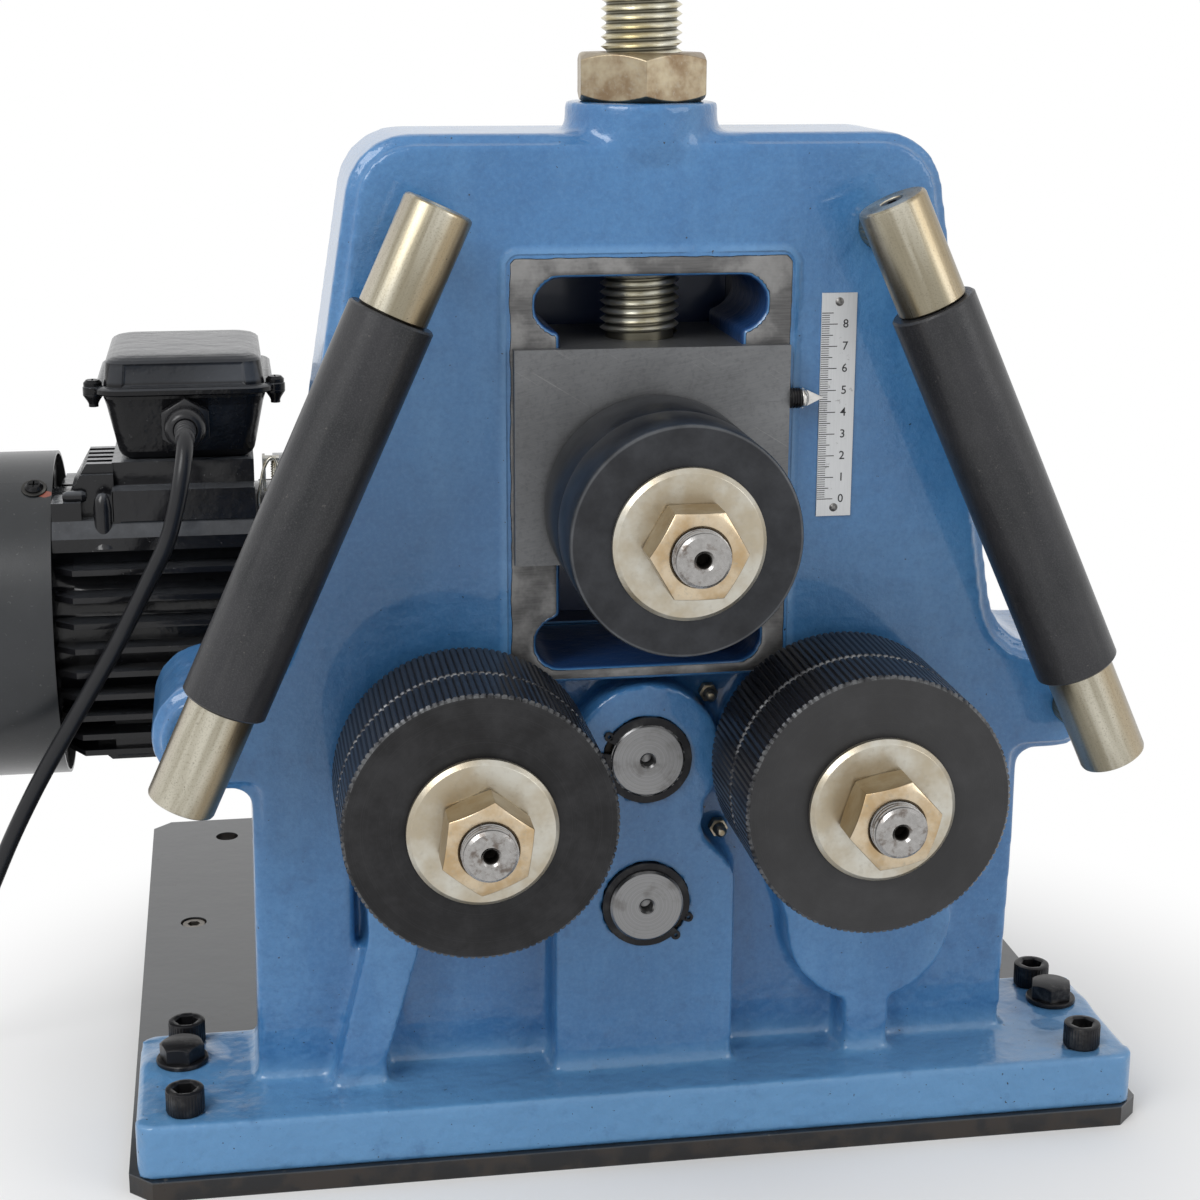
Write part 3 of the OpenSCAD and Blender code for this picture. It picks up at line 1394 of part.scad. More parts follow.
// Idler and drive shafts, each held in front by a circlip on its end
idler_clip_turn = 160;
drive_clip_turn = -35;
module circlip_y(z, turn) {
    lug_w = circlip_r - gear_shaft_r + 2;
    difference() {
        union() {
            rod_y(0, z, circlip_r, -circlip_t - circlip_seat, -circlip_seat);
            for (a = [turn - 14, turn + 14])
                rod_y((gear_shaft_r + lug_w) * cos(a), z + (gear_shaft_r + lug_w) * sin(a), lug_w / 2,
                    -circlip_t - circlip_seat, -circlip_seat);
        }
        rod_y(0, z, gear_shaft_r - 1, -circlip_t - over, over);
        translate([0, 0, z])
            rotate([0, -turn, 0])
                block([0, -circlip_t - over, -lug_w / 2], [circlip_r * 2, over, lug_w / 2]);
    }
}
function gear_shaft_points(end_y, back_y) = [[0, end_y + centre_hole_depth], [centre_hole_r, end_y + centre_hole_depth],
    [centre_hole_r, end_y], [gear_shaft_r - circlip_seat, end_y], [gear_shaft_r, end_y + circlip_seat],
    [gear_shaft_r, -circlip_t - circlip_seat], [gear_shaft_r - 1, -circlip_t - circlip_seat],
    [gear_shaft_r - 1, -circlip_seat], [gear_shaft_r, -circlip_seat], [gear_shaft_r, back_y], [0, back_y]];
module idler_shaft() {
    color(steel) {
        turned_y(0, idler_z, gear_shaft_points(-idler_end_proud, bush_back + over));
        circlip_y(idler_z, idler_clip_turn);
    }
}
module idler_gear() {
    color(steel)
    gear_y_axis(0, idler_z, idler_teeth, idler_turn, gear_shaft_r, gear_y, gear_y + gear_w);
}
module drive_shaft() {
    color(steel) {
        turned_y(0, drive_z, gear_shaft_points(-drive_end_proud, motor_y + gearbox_half_d + output_boss_t + over));
        circlip_y(drive_z, drive_clip_turn);
    }
}
module drive_gear() {
    color(steel)
    gear_y_axis(0, drive_z, drive_teeth, partner_turn(idler_turn, idler_teeth, drive_teeth, -90),
        gear_shaft_r, gear_y, gear_y + gear_w);
}
module worm_wheel() {
    color(bronze)
    difference() {
        rod_y(0, drive_z, wheel_r, motor_y - wheel_half_w, motor_y + wheel_half_w);
        rod_y(0, drive_z, gear_shaft_r, motor_y - wheel_half_w - over, motor_y + wheel_half_w + over);
    }
}

// Cord: from the gland down past the motor to the ground, then into a coil that ends in the plug
cord_r = cord_d / 2;
cord_sides = 10;
// The free stretch from the gland to the coil
cord_route = [[-208, 168, 323], [-208, 159, 323], [-208, 150, 320], [-209, 143, 312], [-211, 139, 301],
    [-214, 138, 288], [-219, 138, 272], [-227, 138, 256], [-237, 138, 237], [-248, 138, 217], [-260, 138, 197],
    [-272, 138, 177], [-284, 138, 157], [-295, 138, 137], [-305, 138, 117], [-314, 138, 97], [-323, 138, 77], [-333, 138, 58],
    [-345, 138, 40], [-358, 138, 25], [-374, 138, 13], [-392, 138, 6], [-406, 138, 4.3], [-420, 138, 4.3]];
coil_start = cord_route[len(cord_route) - 1];
coil_x = coil_start[0];
coil_r = 58;
coil_y = coil_start[1] + coil_r;
coil_turns = 4.25;
coil_pitch = 9.2;
coil_layer = 9.1;
coil_rings = 24;
coil_sides = 6;
tail_len = 36;
plug_r = 19;
function tangent(path, i) = unit(path[min(i + 1, len(path) - 1)] - path[max(i - 1, 0)]);
// A direction square to the path at point i, carried along without twist
function side_dir(path, i) =
    i == 0 ? unit(cross(tangent(path, 0), [1, 0, 0])) :
    let (t = tangent(path, i), n = side_dir(path, i - 1)) unit(n - t * (n * t));
// The faces of a tube of rings with flat ends
function tube_faces(rings, sides) = concat(
    [[for (k = [0:sides - 1]) k]],
    [for (i = [0:rings - 2]) for (k = [0:sides - 1]) each [
        [i * sides + k, (i + 1) * sides + k, (i + 1) * sides + (k + 1) % sides],
        [i * sides + k, (i + 1) * sides + (k + 1) % sides, i * sides + (k + 1) % sides]]],
    [[for (k = [sides - 1:-1:0]) (rings - 1) * sides + k]]);
module cord() {
    rings = len(cord_route);
    points = [for (i = [0:rings - 1])
        let (t = tangent(cord_route, i), n = side_dir(cord_route, i), b = cross(t, n))
        for (k = [0:cord_sides - 1])
            let (a = 360 / cord_sides * (k + 0.5))
            cord_route[i] + cord_r * (cos(a) * n + sin(a) * b)];
    color(black)
    polyhedron(points = points, faces = tube_faces(rings, cord_sides));
}
// The coil spirals in on the ground, climbs one layer over the half turn where it reverses, and spirals out
function smooth(t) = t <= 0 ? 0 : t >= 1 ? 1 : t * t * (3 - 2 * t);
function coil_point(t) =
    let (mid = coil_turns / 2,
         r = coil_r - coil_pitch * (t < mid ? t : coil_turns - t),
         a = -90 - 360 * t,
         z = cord_r + coil_layer * smooth((t - mid + 0.25) * 2))
    [coil_x + r * cos(a), coil_y + r * sin(a), z];
tail_start = coil_point(coil_turns);
tail_steps = 4;
coil_path = concat([for (i = [0:coil_turns * coil_rings]) coil_point(i / coil_rings)],
    [for (i = [1:tail_steps]) tail_start + [0, tail_len * i / tail_steps,
        (plug_r - tail_start[2]) * smooth(i / (tail_steps - 1))]]);
module cord_coil() {
    rings = len(coil_path);
    points = [for (i = [0:rings - 1])
        let (t = i == 0 ? [-1, 0, 0] : i == rings - 1 ? [0, 1, 0] : tangent(coil_path, i),
             n = unit(cross(t, [0, 0, 1])), b = cross(t, n))
        for (k = [0:coil_sides - 1])
            let (a = 360 / coil_sides * k)
            coil_path[i] + cord_r * (cos(a) * n + sin(a) * b)];
    color(black)
    polyhedron(points = points, faces = tube_faces(rings, coil_sides));
}
// The least gap between the coil's turns, measured between points at least half a turn apart
coil_gap = min([for (i = [0:len(coil_path) - 1]) for (j = [i + coil_rings / 2:len(coil_path) - 1])
    norm(coil_path[i] - coil_path[j])]) - cord_d;
echo(coil_gap = coil_gap);

// Plug: a round moulded body with two pins
plug_start = coil_path[len(coil_path) - 1];
plug_len = 34;
plug_neck_len = 30;
plug_pin_r = 2.4;
plug_pin_len = 19;
plug_pin_half = 9.5;
module plug() {
    y0 = plug_start[1];
    y1 = y0 + plug_neck_len;
    color(black) {
        difference() {
            turned_y(plug_start[0], plug_start[2], [[0, y0], [cord_r + 1, y0], [cord_r + 3, y0 + plug_neck_len / 2],
                [plug_r - 4, y1], [plug_r, y1 + 4], [plug_r, y1 + plug_len], [0, y1 + plug_len]]);
            for (s = side_dirs)
                rod_y(plug_start[0] + s * plug_pin_half, plug_start[2], plug_pin_r, y1 + plug_len / 2, y1 + plug_len + over);
        }
        for (s = side_dirs)
            rod_y(plug_start[0] + s * plug_pin_half, plug_start[2], plug_pin_r, y1 + plug_len / 2,
                y1 + plug_len + plug_pin_len);
    }
}

base_plate();
levelling_screws();
casting();
rear_cover();
cover_screws();
base_socket_screws();
base_hex_bolts();
shaft_bushes();
scale_plate();
scale_rivets();
guide_bar_ends();
guide_axles();
guide_studs();
guide_grub_screws();
gearbox_housing();
gearbox_bolts();
motor_flange_bolts();
motor_housing();
motor_cowl();
motor_screws();
terminal_box();
terminal_box_lid();
cable_gland();
grease_nipples();
cord();
cord_coil();
plug();
lock_nut();
slide_block();
block_keeper();
keeper_screws();
block_bushes();
pointer();
screw_retaining_pins();
adjusting_screw();
handle_bar();
handle_knobs();
top_roll_rings();
top_roll_shaft();
top_roll_washer();
top_roll_nut();
left_roll_rings();
left_roll_shaft();
left_roll_washer();
left_roll_nut();
left_roll_gear();
right_roll_rings();
right_roll_shaft();
right_roll_washer();
right_roll_nut();
right_roll_gear();
idler_shaft();
idler_gear();
drive_shaft();
drive_gear();
worm_wheel();
motor_rotor();
motor_fan();
left_guide_sleeve();
right_guide_sleeve();
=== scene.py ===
import math

import bmesh
import bpy
from mathutils import Euler, Matrix, Vector


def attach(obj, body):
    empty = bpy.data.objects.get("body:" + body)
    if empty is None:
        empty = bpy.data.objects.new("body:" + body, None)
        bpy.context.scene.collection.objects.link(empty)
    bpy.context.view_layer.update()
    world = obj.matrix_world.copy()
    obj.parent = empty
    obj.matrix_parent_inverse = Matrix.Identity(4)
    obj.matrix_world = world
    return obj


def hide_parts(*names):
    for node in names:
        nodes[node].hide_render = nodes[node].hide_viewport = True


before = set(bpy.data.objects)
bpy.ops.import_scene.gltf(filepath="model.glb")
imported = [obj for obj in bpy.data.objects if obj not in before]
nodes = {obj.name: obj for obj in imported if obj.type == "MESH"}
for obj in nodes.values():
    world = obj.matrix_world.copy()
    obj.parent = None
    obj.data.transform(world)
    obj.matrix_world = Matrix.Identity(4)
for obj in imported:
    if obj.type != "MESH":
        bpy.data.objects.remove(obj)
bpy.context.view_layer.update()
scene = bpy.context.scene
scene.view_settings.view_transform = "Standard"
MM = 0.001

# Camera: a long lens a metre in front of the rolls and a little to their left, looking down at the machine. Its
# place was worked out from the machine's straight edges.
LENS = 67.0
CAMERA_AT = (-0.18459, -0.96727, 0.53421)
CAMERA_YAW = 0.166
CAMERA_PITCH = -0.262
CAMERA_ROLL = 0.004

lens = bpy.data.cameras.new("camera")
lens.lens = LENS
camera = bpy.data.objects.new("camera", lens)
aim = Euler((math.pi / 2 + CAMERA_PITCH, 0, -CAMERA_YAW)).to_matrix().to_4x4()
camera.matrix_world = Matrix.Translation(CAMERA_AT) @ aim @ Matrix.Rotation(CAMERA_ROLL, 4, "Z")
scene.collection.objects.link(camera)
scene.camera = camera


# Cord: a black sheathed mains lead from the gland on the terminal box. It hangs past the motor to the ground
# and lies there in a neat coil of two layers, with its moulded plug beside it.
CORD_D = 8.5 * MM
CORD_ROUTE = [
    (-0.208, 0.168, 0.323), (-0.208, 0.159, 0.323), (-0.208, 0.150, 0.320), (-0.209, 0.143, 0.312),
    (-0.211, 0.139, 0.301), (-0.214, 0.138, 0.288), (-0.219, 0.138, 0.272), (-0.227, 0.138, 0.256),
    (-0.237, 0.138, 0.237), (-0.248, 0.138, 0.217), (-0.260, 0.138, 0.197), (-0.272, 0.138, 0.177),
    (-0.284, 0.138, 0.157), (-0.295, 0.138, 0.137), (-0.305, 0.138, 0.117), (-0.314, 0.138, 0.097),
    (-0.323, 0.138, 0.077), (-0.333, 0.138, 0.058), (-0.345, 0.138, 0.040), (-0.358, 0.138, 0.025),
    (-0.374, 0.138, 0.013), (-0.392, 0.138, 0.006), (-0.406, 0.138, 0.0043), (-0.420, 0.138, 0.0043),
]
COIL_R = 58 * MM
COIL_CENTRE = (-0.420, 0.138 + COIL_R)
COIL_TURNS = 4.25
COIL_PITCH = 9.2 * MM
COIL_LAYER = 9.1 * MM
COIL_STEPS = 24
TAIL = 36 * MM
TAIL_STEPS = 4
PLUG_R = 19 * MM
PLUG_NECK = 30 * MM
PLUG_BODY = 34 * MM
PIN_R = 2.4 * MM
PIN_LENGTH = 19 * MM
PIN_HALF = 9.5 * MM


class Value:
    """A shader socket that Python's own operators work on: an expression on it adds its Math nodes."""

    def __init__(self, finish, socket):
        self.finish = finish
        self.socket = socket

    def __add__(self, other):
        return self.finish.maths("ADD", self, other)

    def __sub__(self, other):
        return self.finish.maths("SUBTRACT", self, other)

    def __rsub__(self, other):
        return self.finish.maths("SUBTRACT", other, self)

    def __mul__(self, other):
        return self.finish.maths("MULTIPLY", self, other)

    def __lt__(self, other):
        return self.finish.maths("LESS_THAN", self, other)

    def __abs__(self):
        return self.finish.maths("ABSOLUTE", self)

    def larger(self, other):
        return self.finish.maths("MAXIMUM", self, other)

    def power(self, other):
        return self.finish.maths("POWER", self, other)

    def ramp(self, low, high):
        """From 0 where this is low to 1 where it is high, with soft ends."""
        settings = {"interpolation_type": "SMOOTHSTEP"}
        return self.finish.node("ShaderNodeMapRange", settings, {"Value": self, "From Min": low, "From Max": high})

    __radd__ = __add__
    __rmul__ = __mul__


class Finish:
    """One material: a shader whose sockets take numbers, colours or expressions."""

    def __init__(self, name, **sockets):
        self.material = bpy.data.materials.new(name)
        self.material.use_nodes = True
        self.tree = self.material.node_tree
        self.shader = self.tree.nodes["Principled BSDF"]
        self.place = self.node("ShaderNodeTexCoord", out="Object")
        self.set(**sockets)

    def plug(self, target, value):
        """Gives a socket a number or a colour, or links an expression to it."""
        if isinstance(value, Value):
            self.tree.links.new(value.socket, target)
        elif hasattr(value, "__len__") and len(value) == 3 and target.type == "RGBA":
            target.default_value = (*value, 1)
        else:
            target.default_value = value

    def set(self, **sockets):
        """Gives the shader's own sockets their values, by name."""
        for name, value in sockets.items():
            self.plug(self.shader.inputs[name.replace("_", " ").title().replace("Ior", "IOR")], value)

    def node(self, kind, settings=None, inputs=None, out=0):
        """Adds any other node: its kind, its settings, which are made first, its inputs and the output wanted."""
        made = self.tree.nodes.new(kind)
        for name, value in (settings or {}).items():
            setattr(made, name, value)
        for name, value in (inputs or {}).items():
            self.plug(made.inputs[name], value)
        return Value(self, made.outputs[out])

    def maths(self, operation, *values):
        return self.node("ShaderNodeMath", {"operation": operation}, dict(enumerate(values)))

    def axes(self, place=None):
        """The x, y and z of a place, in metres."""
        parts = self.node("ShaderNodeSeparateXYZ", None, {0: place or self.place}).socket.node
        return [Value(self, parts.outputs[i]) for i in range(3)]

    def facing(self):
        """The x, y and z of the way that the surface faces."""
        return self.axes(self.node("ShaderNodeNewGeometry", out="Normal"))

    def stretched(self, scale, turn=(0, 0, 0), centre=(0, 0, 0), place=None):
        """Object coordinates measured from centre, turned, then scaled along each axis."""
        moved = self.node("ShaderNodeVectorMath", {"operation": "SUBTRACT"}, {0: place or self.place, 1: centre})
        inputs = {"Vector": moved, "Rotation": turn}
        turned = self.node("ShaderNodeVectorRotate", {"rotation_type": "EULER_XYZ"}, inputs)
        return self.node("ShaderNodeVectorMath", {"operation": "MULTIPLY"}, {0: turned, 1: scale})

    def noise(self, scale, detail=3, rough=0.55, place=None):
        inputs = {"Vector": place or self.place, "Scale": scale, "Detail": detail, "Roughness": rough}
        return self.node("ShaderNodeTexNoise", None, inputs)

    def blend(self, part, first, second):
        """Colour first where part is 0, second where it is 1."""
        mix = self.node("ShaderNodeMix", {"data_type": "RGBA"}).socket.node
        for socket, value in ((mix.inputs[0], part), (mix.inputs[6], first), (mix.inputs[7], second)):
            self.plug(socket, value)
        return Value(self, mix.outputs[2])

    def layers(self, colour, *over):
        """A colour with others laid over it, each with the part of the surface that it covers."""
        for part, other in over:
            colour = self.blend(part, colour, other)
        return colour

    def colour(self):
        """The colour that the shader has now."""
        return Value(self, self.shader.inputs["Base Color"].links[0].from_socket)

    def relief(self, *layers):
        """Bumps laid over each other. Each layer is a height from 0 to 1 and its depth in metres."""
        normal = None
        for height, depth in layers:
            inputs = {"Height": height, "Distance": depth, "Strength": 1.0}
            if normal:
                inputs["Normal"] = normal
            normal = self.node("ShaderNodeBump", None, inputs)
        self.set(Normal=normal)

    def fine_relief(self, scale, detail, depth):
        """One fine grain all over."""
        self.relief((self.noise(scale, detail), depth))


def clouded(name, scale, detail, dark, pale, rough, change, **sockets):
    """A plain finish whose colour and roughness drift together in clouds."""
    finish = Finish(name, **sockets)
    cloud = finish.noise(scale, detail)
    finish.set(Base_Color=finish.blend(cloud, dark, pale), Roughness=rough + change * cloud)
    return finish


def make(name, bm, finish, body, stands_for=(), sharp=35, bevel=0, segments=2):
    """Turns a mesh into a piece that rides on a body, stands for CAD nodes and may have its edges rounded."""
    mesh = bpy.data.meshes.new(name)
    bm.to_mesh(mesh)
    bm.free()
    for material in finish if isinstance(finish, (list, tuple)) else [finish]:
        mesh.materials.append(material.material)
    mesh.shade_smooth()
    mesh.set_sharp_from_angle(angle=math.radians(sharp))
    piece = bpy.data.objects.new(name, mesh)
    scene.collection.objects.link(piece)
    if bevel:
        rounding = piece.modifiers.new("edges", "BEVEL")
        rounding.width = bevel
        rounding.segments = segments
        rounding.limit_method = "ANGLE"
        rounding.angle_limit = math.radians(sharp)
        rounding.harden_normals = True
    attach(piece, body)
    if stands_for:
        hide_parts(*([stands_for] if isinstance(stands_for, str) else stands_for))
    return piece


def along_y(x=0.0, y=0.0, z=0.0):
    """A turned piece is drawn about Z: this lays its Z axis along +Y, from the point given."""
    return Matrix.Translation((x, y, z)) @ Matrix.Rotation(-math.pi / 2, 4, "X")


def along_x(x=0.0, y=0.0, z=0.0):
    """The same, with its Z axis along +X."""
    return Matrix.Translation((x, y, z)) @ Matrix.Rotation(math.pi / 2, 4, "Y")


def lathe(profile, place=None, steps=64, bm=None):
    """A turned solid from a profile of (radius, height) about Z, put in its place."""
    new = bmesh.new()
    start = [new.verts.new((r, 0, h)) for r, h in profile]
    edges = [new.edges.new(pair) for pair in zip(start, start[1:])]
    bmesh.ops.spin(new, geom=start + edges, cent=(0, 0, 0), axis=(0, 0, 1), angle=math.tau, steps=steps, use_merge=True)
    bmesh.ops.remove_doubles(new, verts=new.verts, dist=1e-6)
    bmesh.ops.recalc_face_normals(new, faces=new.faces)
    if place:
        bmesh.ops.transform(new, matrix=place, verts=new.verts)
    return join(bm, new)


def join(bm, new):
    """Adds one mesh to another, or returns the new one if there is no other yet."""
    if bm is None:
        return new
    carrier = bpy.data.meshes.new("carrier")
    new.to_mesh(carrier)
    new.free()
    bm.from_mesh(carrier)
    bpy.data.meshes.remove(carrier)
    return bm


def coil_point(t):
    """The coil's line after t turns: it spirals in on the ground, climbs a layer, and spirals out."""
    r = COIL_R - COIL_PITCH * min(t, COIL_TURNS - t)
    a = math.radians(-90 - 360 * t)
    climb = min(max((t - COIL_TURNS / 2 + 0.25) * 2, 0), 1)
    z = CORD_D / 2 + COIL_LAYER * climb * climb * (3 - 2 * climb)
    return Vector((COIL_CENTRE[0] + r * math.cos(a), COIL_CENTRE[1] + r * math.sin(a), z))


coil = [coil_point(i / COIL_STEPS) for i in range(int(COIL_TURNS * COIL_STEPS) + 1)]
tail = []
for i in range(1, TAIL_STEPS + 1):
    rise = min(i / (TAIL_STEPS - 1), 1)
    rise *= rise * (3 - 2 * rise)
    tail.append(coil[-1] + Vector((0, TAIL * i / TAIL_STEPS, (PLUG_R - coil[-1].z) * rise)))
cord_line = bpy.data.curves.new("cord_line", "CURVE")
cord_line.dimensions = "3D"
cord_line.bevel_depth = CORD_D / 2
cord_line.bevel_resolution = 4
cord_line.resolution_u = 4
cord_line.use_fill_caps = True
spline = cord_line.splines.new("BEZIER")
cord_points = [Vector(p) for p in CORD_ROUTE[:-1]] + coil + tail
spline.bezier_points.add(len(cord_points) - 1)
for point, at in zip(spline.bezier_points, cord_points):
    point.co = at
    point.handle_left_type = point.handle_right_type = "AUTO"
cord_sheath = clouded(
    "cord_sheath", 90, 3, (0.009, 0.009, 0.011), (0.017, 0.018, 0.020), 0.24, 0.12, Specular_Ior_Level=0.32
)
cord_sheath.fine_relief(700, 2, 0.00004)
cord_line.materials.append(cord_sheath.material)
cord = bpy.data.objects.new("cord_lead", cord_line)
scene.collection.objects.link(cord)
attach(cord, "frame")
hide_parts("cord", "cord_coil")

plug_at = cord_points[-1]
moulded = Finish("moulded_plug", Base_Color=(0.018, 0.018, 0.020), Roughness=0.5)
moulded.fine_relief(1500, 2, 0.00003)
plug_profile = [(0, 0), (CORD_D / 2 + 1 * MM, 0)]
for i in range(5):
    plug_profile += [
        (CORD_D / 2 + (1.2 + 0.4 * i) * MM, (3 + 5 * i) * MM),
        (CORD_D / 2 + (0.5 + 0.4 * i) * MM, (4 + 5 * i) * MM),
        (CORD_D / 2 + (0.5 + 0.4 * i) * MM, (6 + 5 * i) * MM),
    ]
plug_profile += [
    (PLUG_R - 5 * MM, PLUG_NECK), (PLUG_R - 1 * MM, PLUG_NECK + 4 * MM), (PLUG_R, PLUG_NECK + 8 * MM),
    (PLUG_R, PLUG_NECK + PLUG_BODY - 1.5 * MM), (PLUG_R - 1.5 * MM, PLUG_NECK + PLUG_BODY),
    (0, PLUG_NECK + PLUG_BODY),
]
plug = make("mains_plug", lathe(plug_profile, along_y(*plug_at)), moulded, "frame", "plug", sharp=50)
pins = None
for side in (-1, 1):
    pin = [(0, 0), (PIN_R, 0), (PIN_R, PIN_LENGTH - 2 * MM), (PIN_R / 2, PIN_LENGTH), (0, PIN_LENGTH)]
    at = plug_at + Vector((side * PIN_HALF, PLUG_NECK + PLUG_BODY, 0))
    pins = lathe(pin, along_y(*at), 24, pins)
pin_metal = Finish("plug_pins", Base_Color=(0.62, 0.60, 0.56), Metallic=1.0, Roughness=0.25)
pins = make("mains_plug_pins", pins, pin_metal, "frame")


# Setting: a plain pale floor, white behind, and two large soft lamps in front. The camera and every reflection
# see the floor's far part and the world as white, while the floor near the object keeps its shadow.
FLOOR_HALF = 9.0
FLOOR_NEAR = 0.21
FLOOR_FAR = 0.48
AMBIENT = 0.70
REFLECTED = ("Is Glossy Ray", "Is Transmission Ray")
LAMP_SIZE = 1.1
LAMP_AIM = Vector((0, 0, 0.2))

floor_paint = Finish("studio_floor", Base_Color=(0.84, 0.84, 0.84), Roughness=0.9)
x, y, z = floor_paint.axes()
away = (x * x + y * y).power(0.5).ramp(FLOOR_NEAR, FLOOR_FAR)
rays = floor_paint.node("ShaderNodeLightPath", out="Is Camera Ray")
seen = rays
for ray in REFLECTED:
    seen = seen.larger(Value(floor_paint, rays.socket.node.outputs[ray]))
glow = floor_paint.node("ShaderNodeEmission", None, {"Color": (1, 1, 1), "Strength": 1.0})
surface = Value(floor_paint, floor_paint.shader.outputs[0])
mixed = floor_paint.node("ShaderNodeMixShader", None, {0: away * seen, 1: surface, 2: glow})
floor_paint.plug(floor_paint.tree.nodes["Material Output"].inputs["Surface"], mixed)
bm = bmesh.new()
bmesh.ops.create_grid(bm, x_segments=1, y_segments=1, size=FLOOR_HALF)
mesh = bpy.data.meshes.new("floor")
bm.to_mesh(mesh)
bm.free()
mesh.materials.append(floor_paint.material)
floor = bpy.data.objects.new("floor", mesh)
scene.collection.objects.link(floor)

world = bpy.data.worlds.new("studio")
world.use_nodes = True
scene.world = world
sky = world.node_tree
path = sky.nodes.new("ShaderNodeLightPath")
strength = path.outputs["Is Camera Ray"]
for ray in REFLECTED:
    either = sky.nodes.new("ShaderNodeMath")
    either.operation = "MAXIMUM"
    sky.links.new(either.inputs[0], strength)
    sky.links.new(either.inputs[1], path.outputs[ray])
    strength = either.outputs[0]
level = sky.nodes.new("ShaderNodeMapRange")
level.inputs["To Min"].default_value = AMBIENT
level.inputs["To Max"].default_value = 1.0
sky.links.new(level.inputs["Value"], strength)
sky.nodes["Background"].inputs["Color"].default_value = (1, 1, 1, 1)
sky.links.new(sky.nodes["Background"].inputs["Strength"], level.outputs[0])

for name, at, power in (("left_lamp", (-1.3, -1.1, 1.7), 25), ("right_lamp", (1.7, -1.3, 1.1), 9)):
    light = bpy.data.lights.new(name, "AREA")
    light.shape = "SQUARE"
    light.size = LAMP_SIZE
    light.energy = power
    holder = bpy.data.objects.new(name, light)
    aim = (LAMP_AIM - Vector(at)).to_track_quat("-Z", "Y")
    holder.matrix_world = Matrix.Translation(at) @ aim.to_matrix().to_4x4()
    scene.collection.objects.link(holder)


# Base plate: rolled steel plate with cut corners, painted gloss black, with drilled holes. Two headless
# socket screws stand in its tapped holes. The plate's edges are sheared, and brown rust shows through on them.
WELD = 0.002 * MM


def merged(node):
    """A copy of a CAD node's mesh, its loose triangles joined at their corners."""
    bm = bmesh.new()
    bm.from_mesh(nodes[node].data)
    bmesh.ops.remove_doubles(bm, verts=bm.verts, dist=WELD)
    return bm


def from_cad(name, node, finish, body, bevel=0.3 * MM, sharp=30, segments=2, more=None):
    """A copy of a CAD node's mesh as flat faces with rounded edges, and with more shapes added."""
    bm = merged(node)
    bmesh.ops.dissolve_limit(bm, angle_limit=math.radians(1), verts=bm.verts, edges=bm.edges)
    if more:
        join(bm, more)
    return make(name, bm, finish, body, node, sharp, bevel, segments)


def coat(node, finish):
    """Gives a CAD node a finish of its own."""
    for place in nodes[node].material_slots:
        place.material = finish.material


PLATE_T = 10 * MM
plate_paint = Finish("plate_paint", Coat_Roughness=0.12)
x, y, z = plate_paint.axes()
rolled = plate_paint.noise(7, 4, 0.6, plate_paint.stretched((1, 0.35, 1)))
specks = plate_paint.noise(160, 3, 0.7).ramp(0.66, 0.72)
side = (z - 0.0004).ramp(0, 0.0001) * (PLATE_T - 0.0006 - z).ramp(0, 0.0001)
rust = side * plate_paint.noise(60, 4).ramp(0.42, 0.62)
top = plate_paint.blend(rolled.ramp(0.35, 0.7), (0.015, 0.018, 0.022), (0.025, 0.029, 0.034))
plate_paint.set(
    Base_Color=plate_paint.layers(
        top, (specks, (0.07, 0.068, 0.065)), (0.9 * side, (0.005, 0.004, 0.004)), (rust, (0.022, 0.016, 0.012))
    ),
    Roughness=0.22 + 0.16 * rolled + 0.25 * specks + 0.3 * rust,
    Coat_Weight=0.5 - 0.4 * side,
)
plate_paint.relief((plate_paint.noise(26, 3), 0.0004), (plate_paint.noise(240, 3), 0.00005), (rust, 0.0001))
from_cad("base_plate_painted", "base_plate", plate_paint, "frame", 0.7 * MM)
screw_steel = clouded(
    "levelling_screw_steel", 300, 4, (0.10, 0.09, 0.08), (0.36, 0.34, 0.31), 0.35, 0.3, Metallic=1.0
)
from_cad("levelling_screws_worn", "levelling_screws", screw_steel, "frame", 0.2 * MM)


# Frame casting: grey iron cast in sand, with soft fillets where its walls meet, brushed and sprayed in thick
# blue enamel. Only the pad round the slot is machined bare, and it carries dark stains from oil and hands.
CAST_VOXEL = 1.7 * MM
CAST_TRIANGLES = 190000
FOOT_TOP = 36.6 * MM
WALL_TOP = 479 * MM
BULGE_LOW = 466 * MM
BULGE_HALF = 30 * MM
PAD_HALF = 64.5 * MM
PAD_LOW = 233 * MM
PAD_HIGH = 427.5 * MM
PAD_ROUND = 6 * MM
PAD_EDGE = 1.2 * MM
SLOT_HALF = 41 * MM
SLOT_LOW = 240 * MM
SLOT_HIGH = 417.5 * MM
IDLER_Z = 193.6 * MM
DRIVE_Z = 121.6 * MM
ROLL_X = 86.96 * MM
LOW_ROLL_Z = 196.3 * MM
WORN_R = 20.9 * MM
BLUE_DEEP = (0.035, 0.142, 0.332)
BLUE_PALE = (0.057, 0.191, 0.405)


def in_bulge(p):
    """Whether a point is on the wall above the pad, where the wall swells out to the screw's boss."""
    return abs(p.x) < BULGE_HALF and PAD_HIGH + 4 * MM < p.z < WALL_TOP


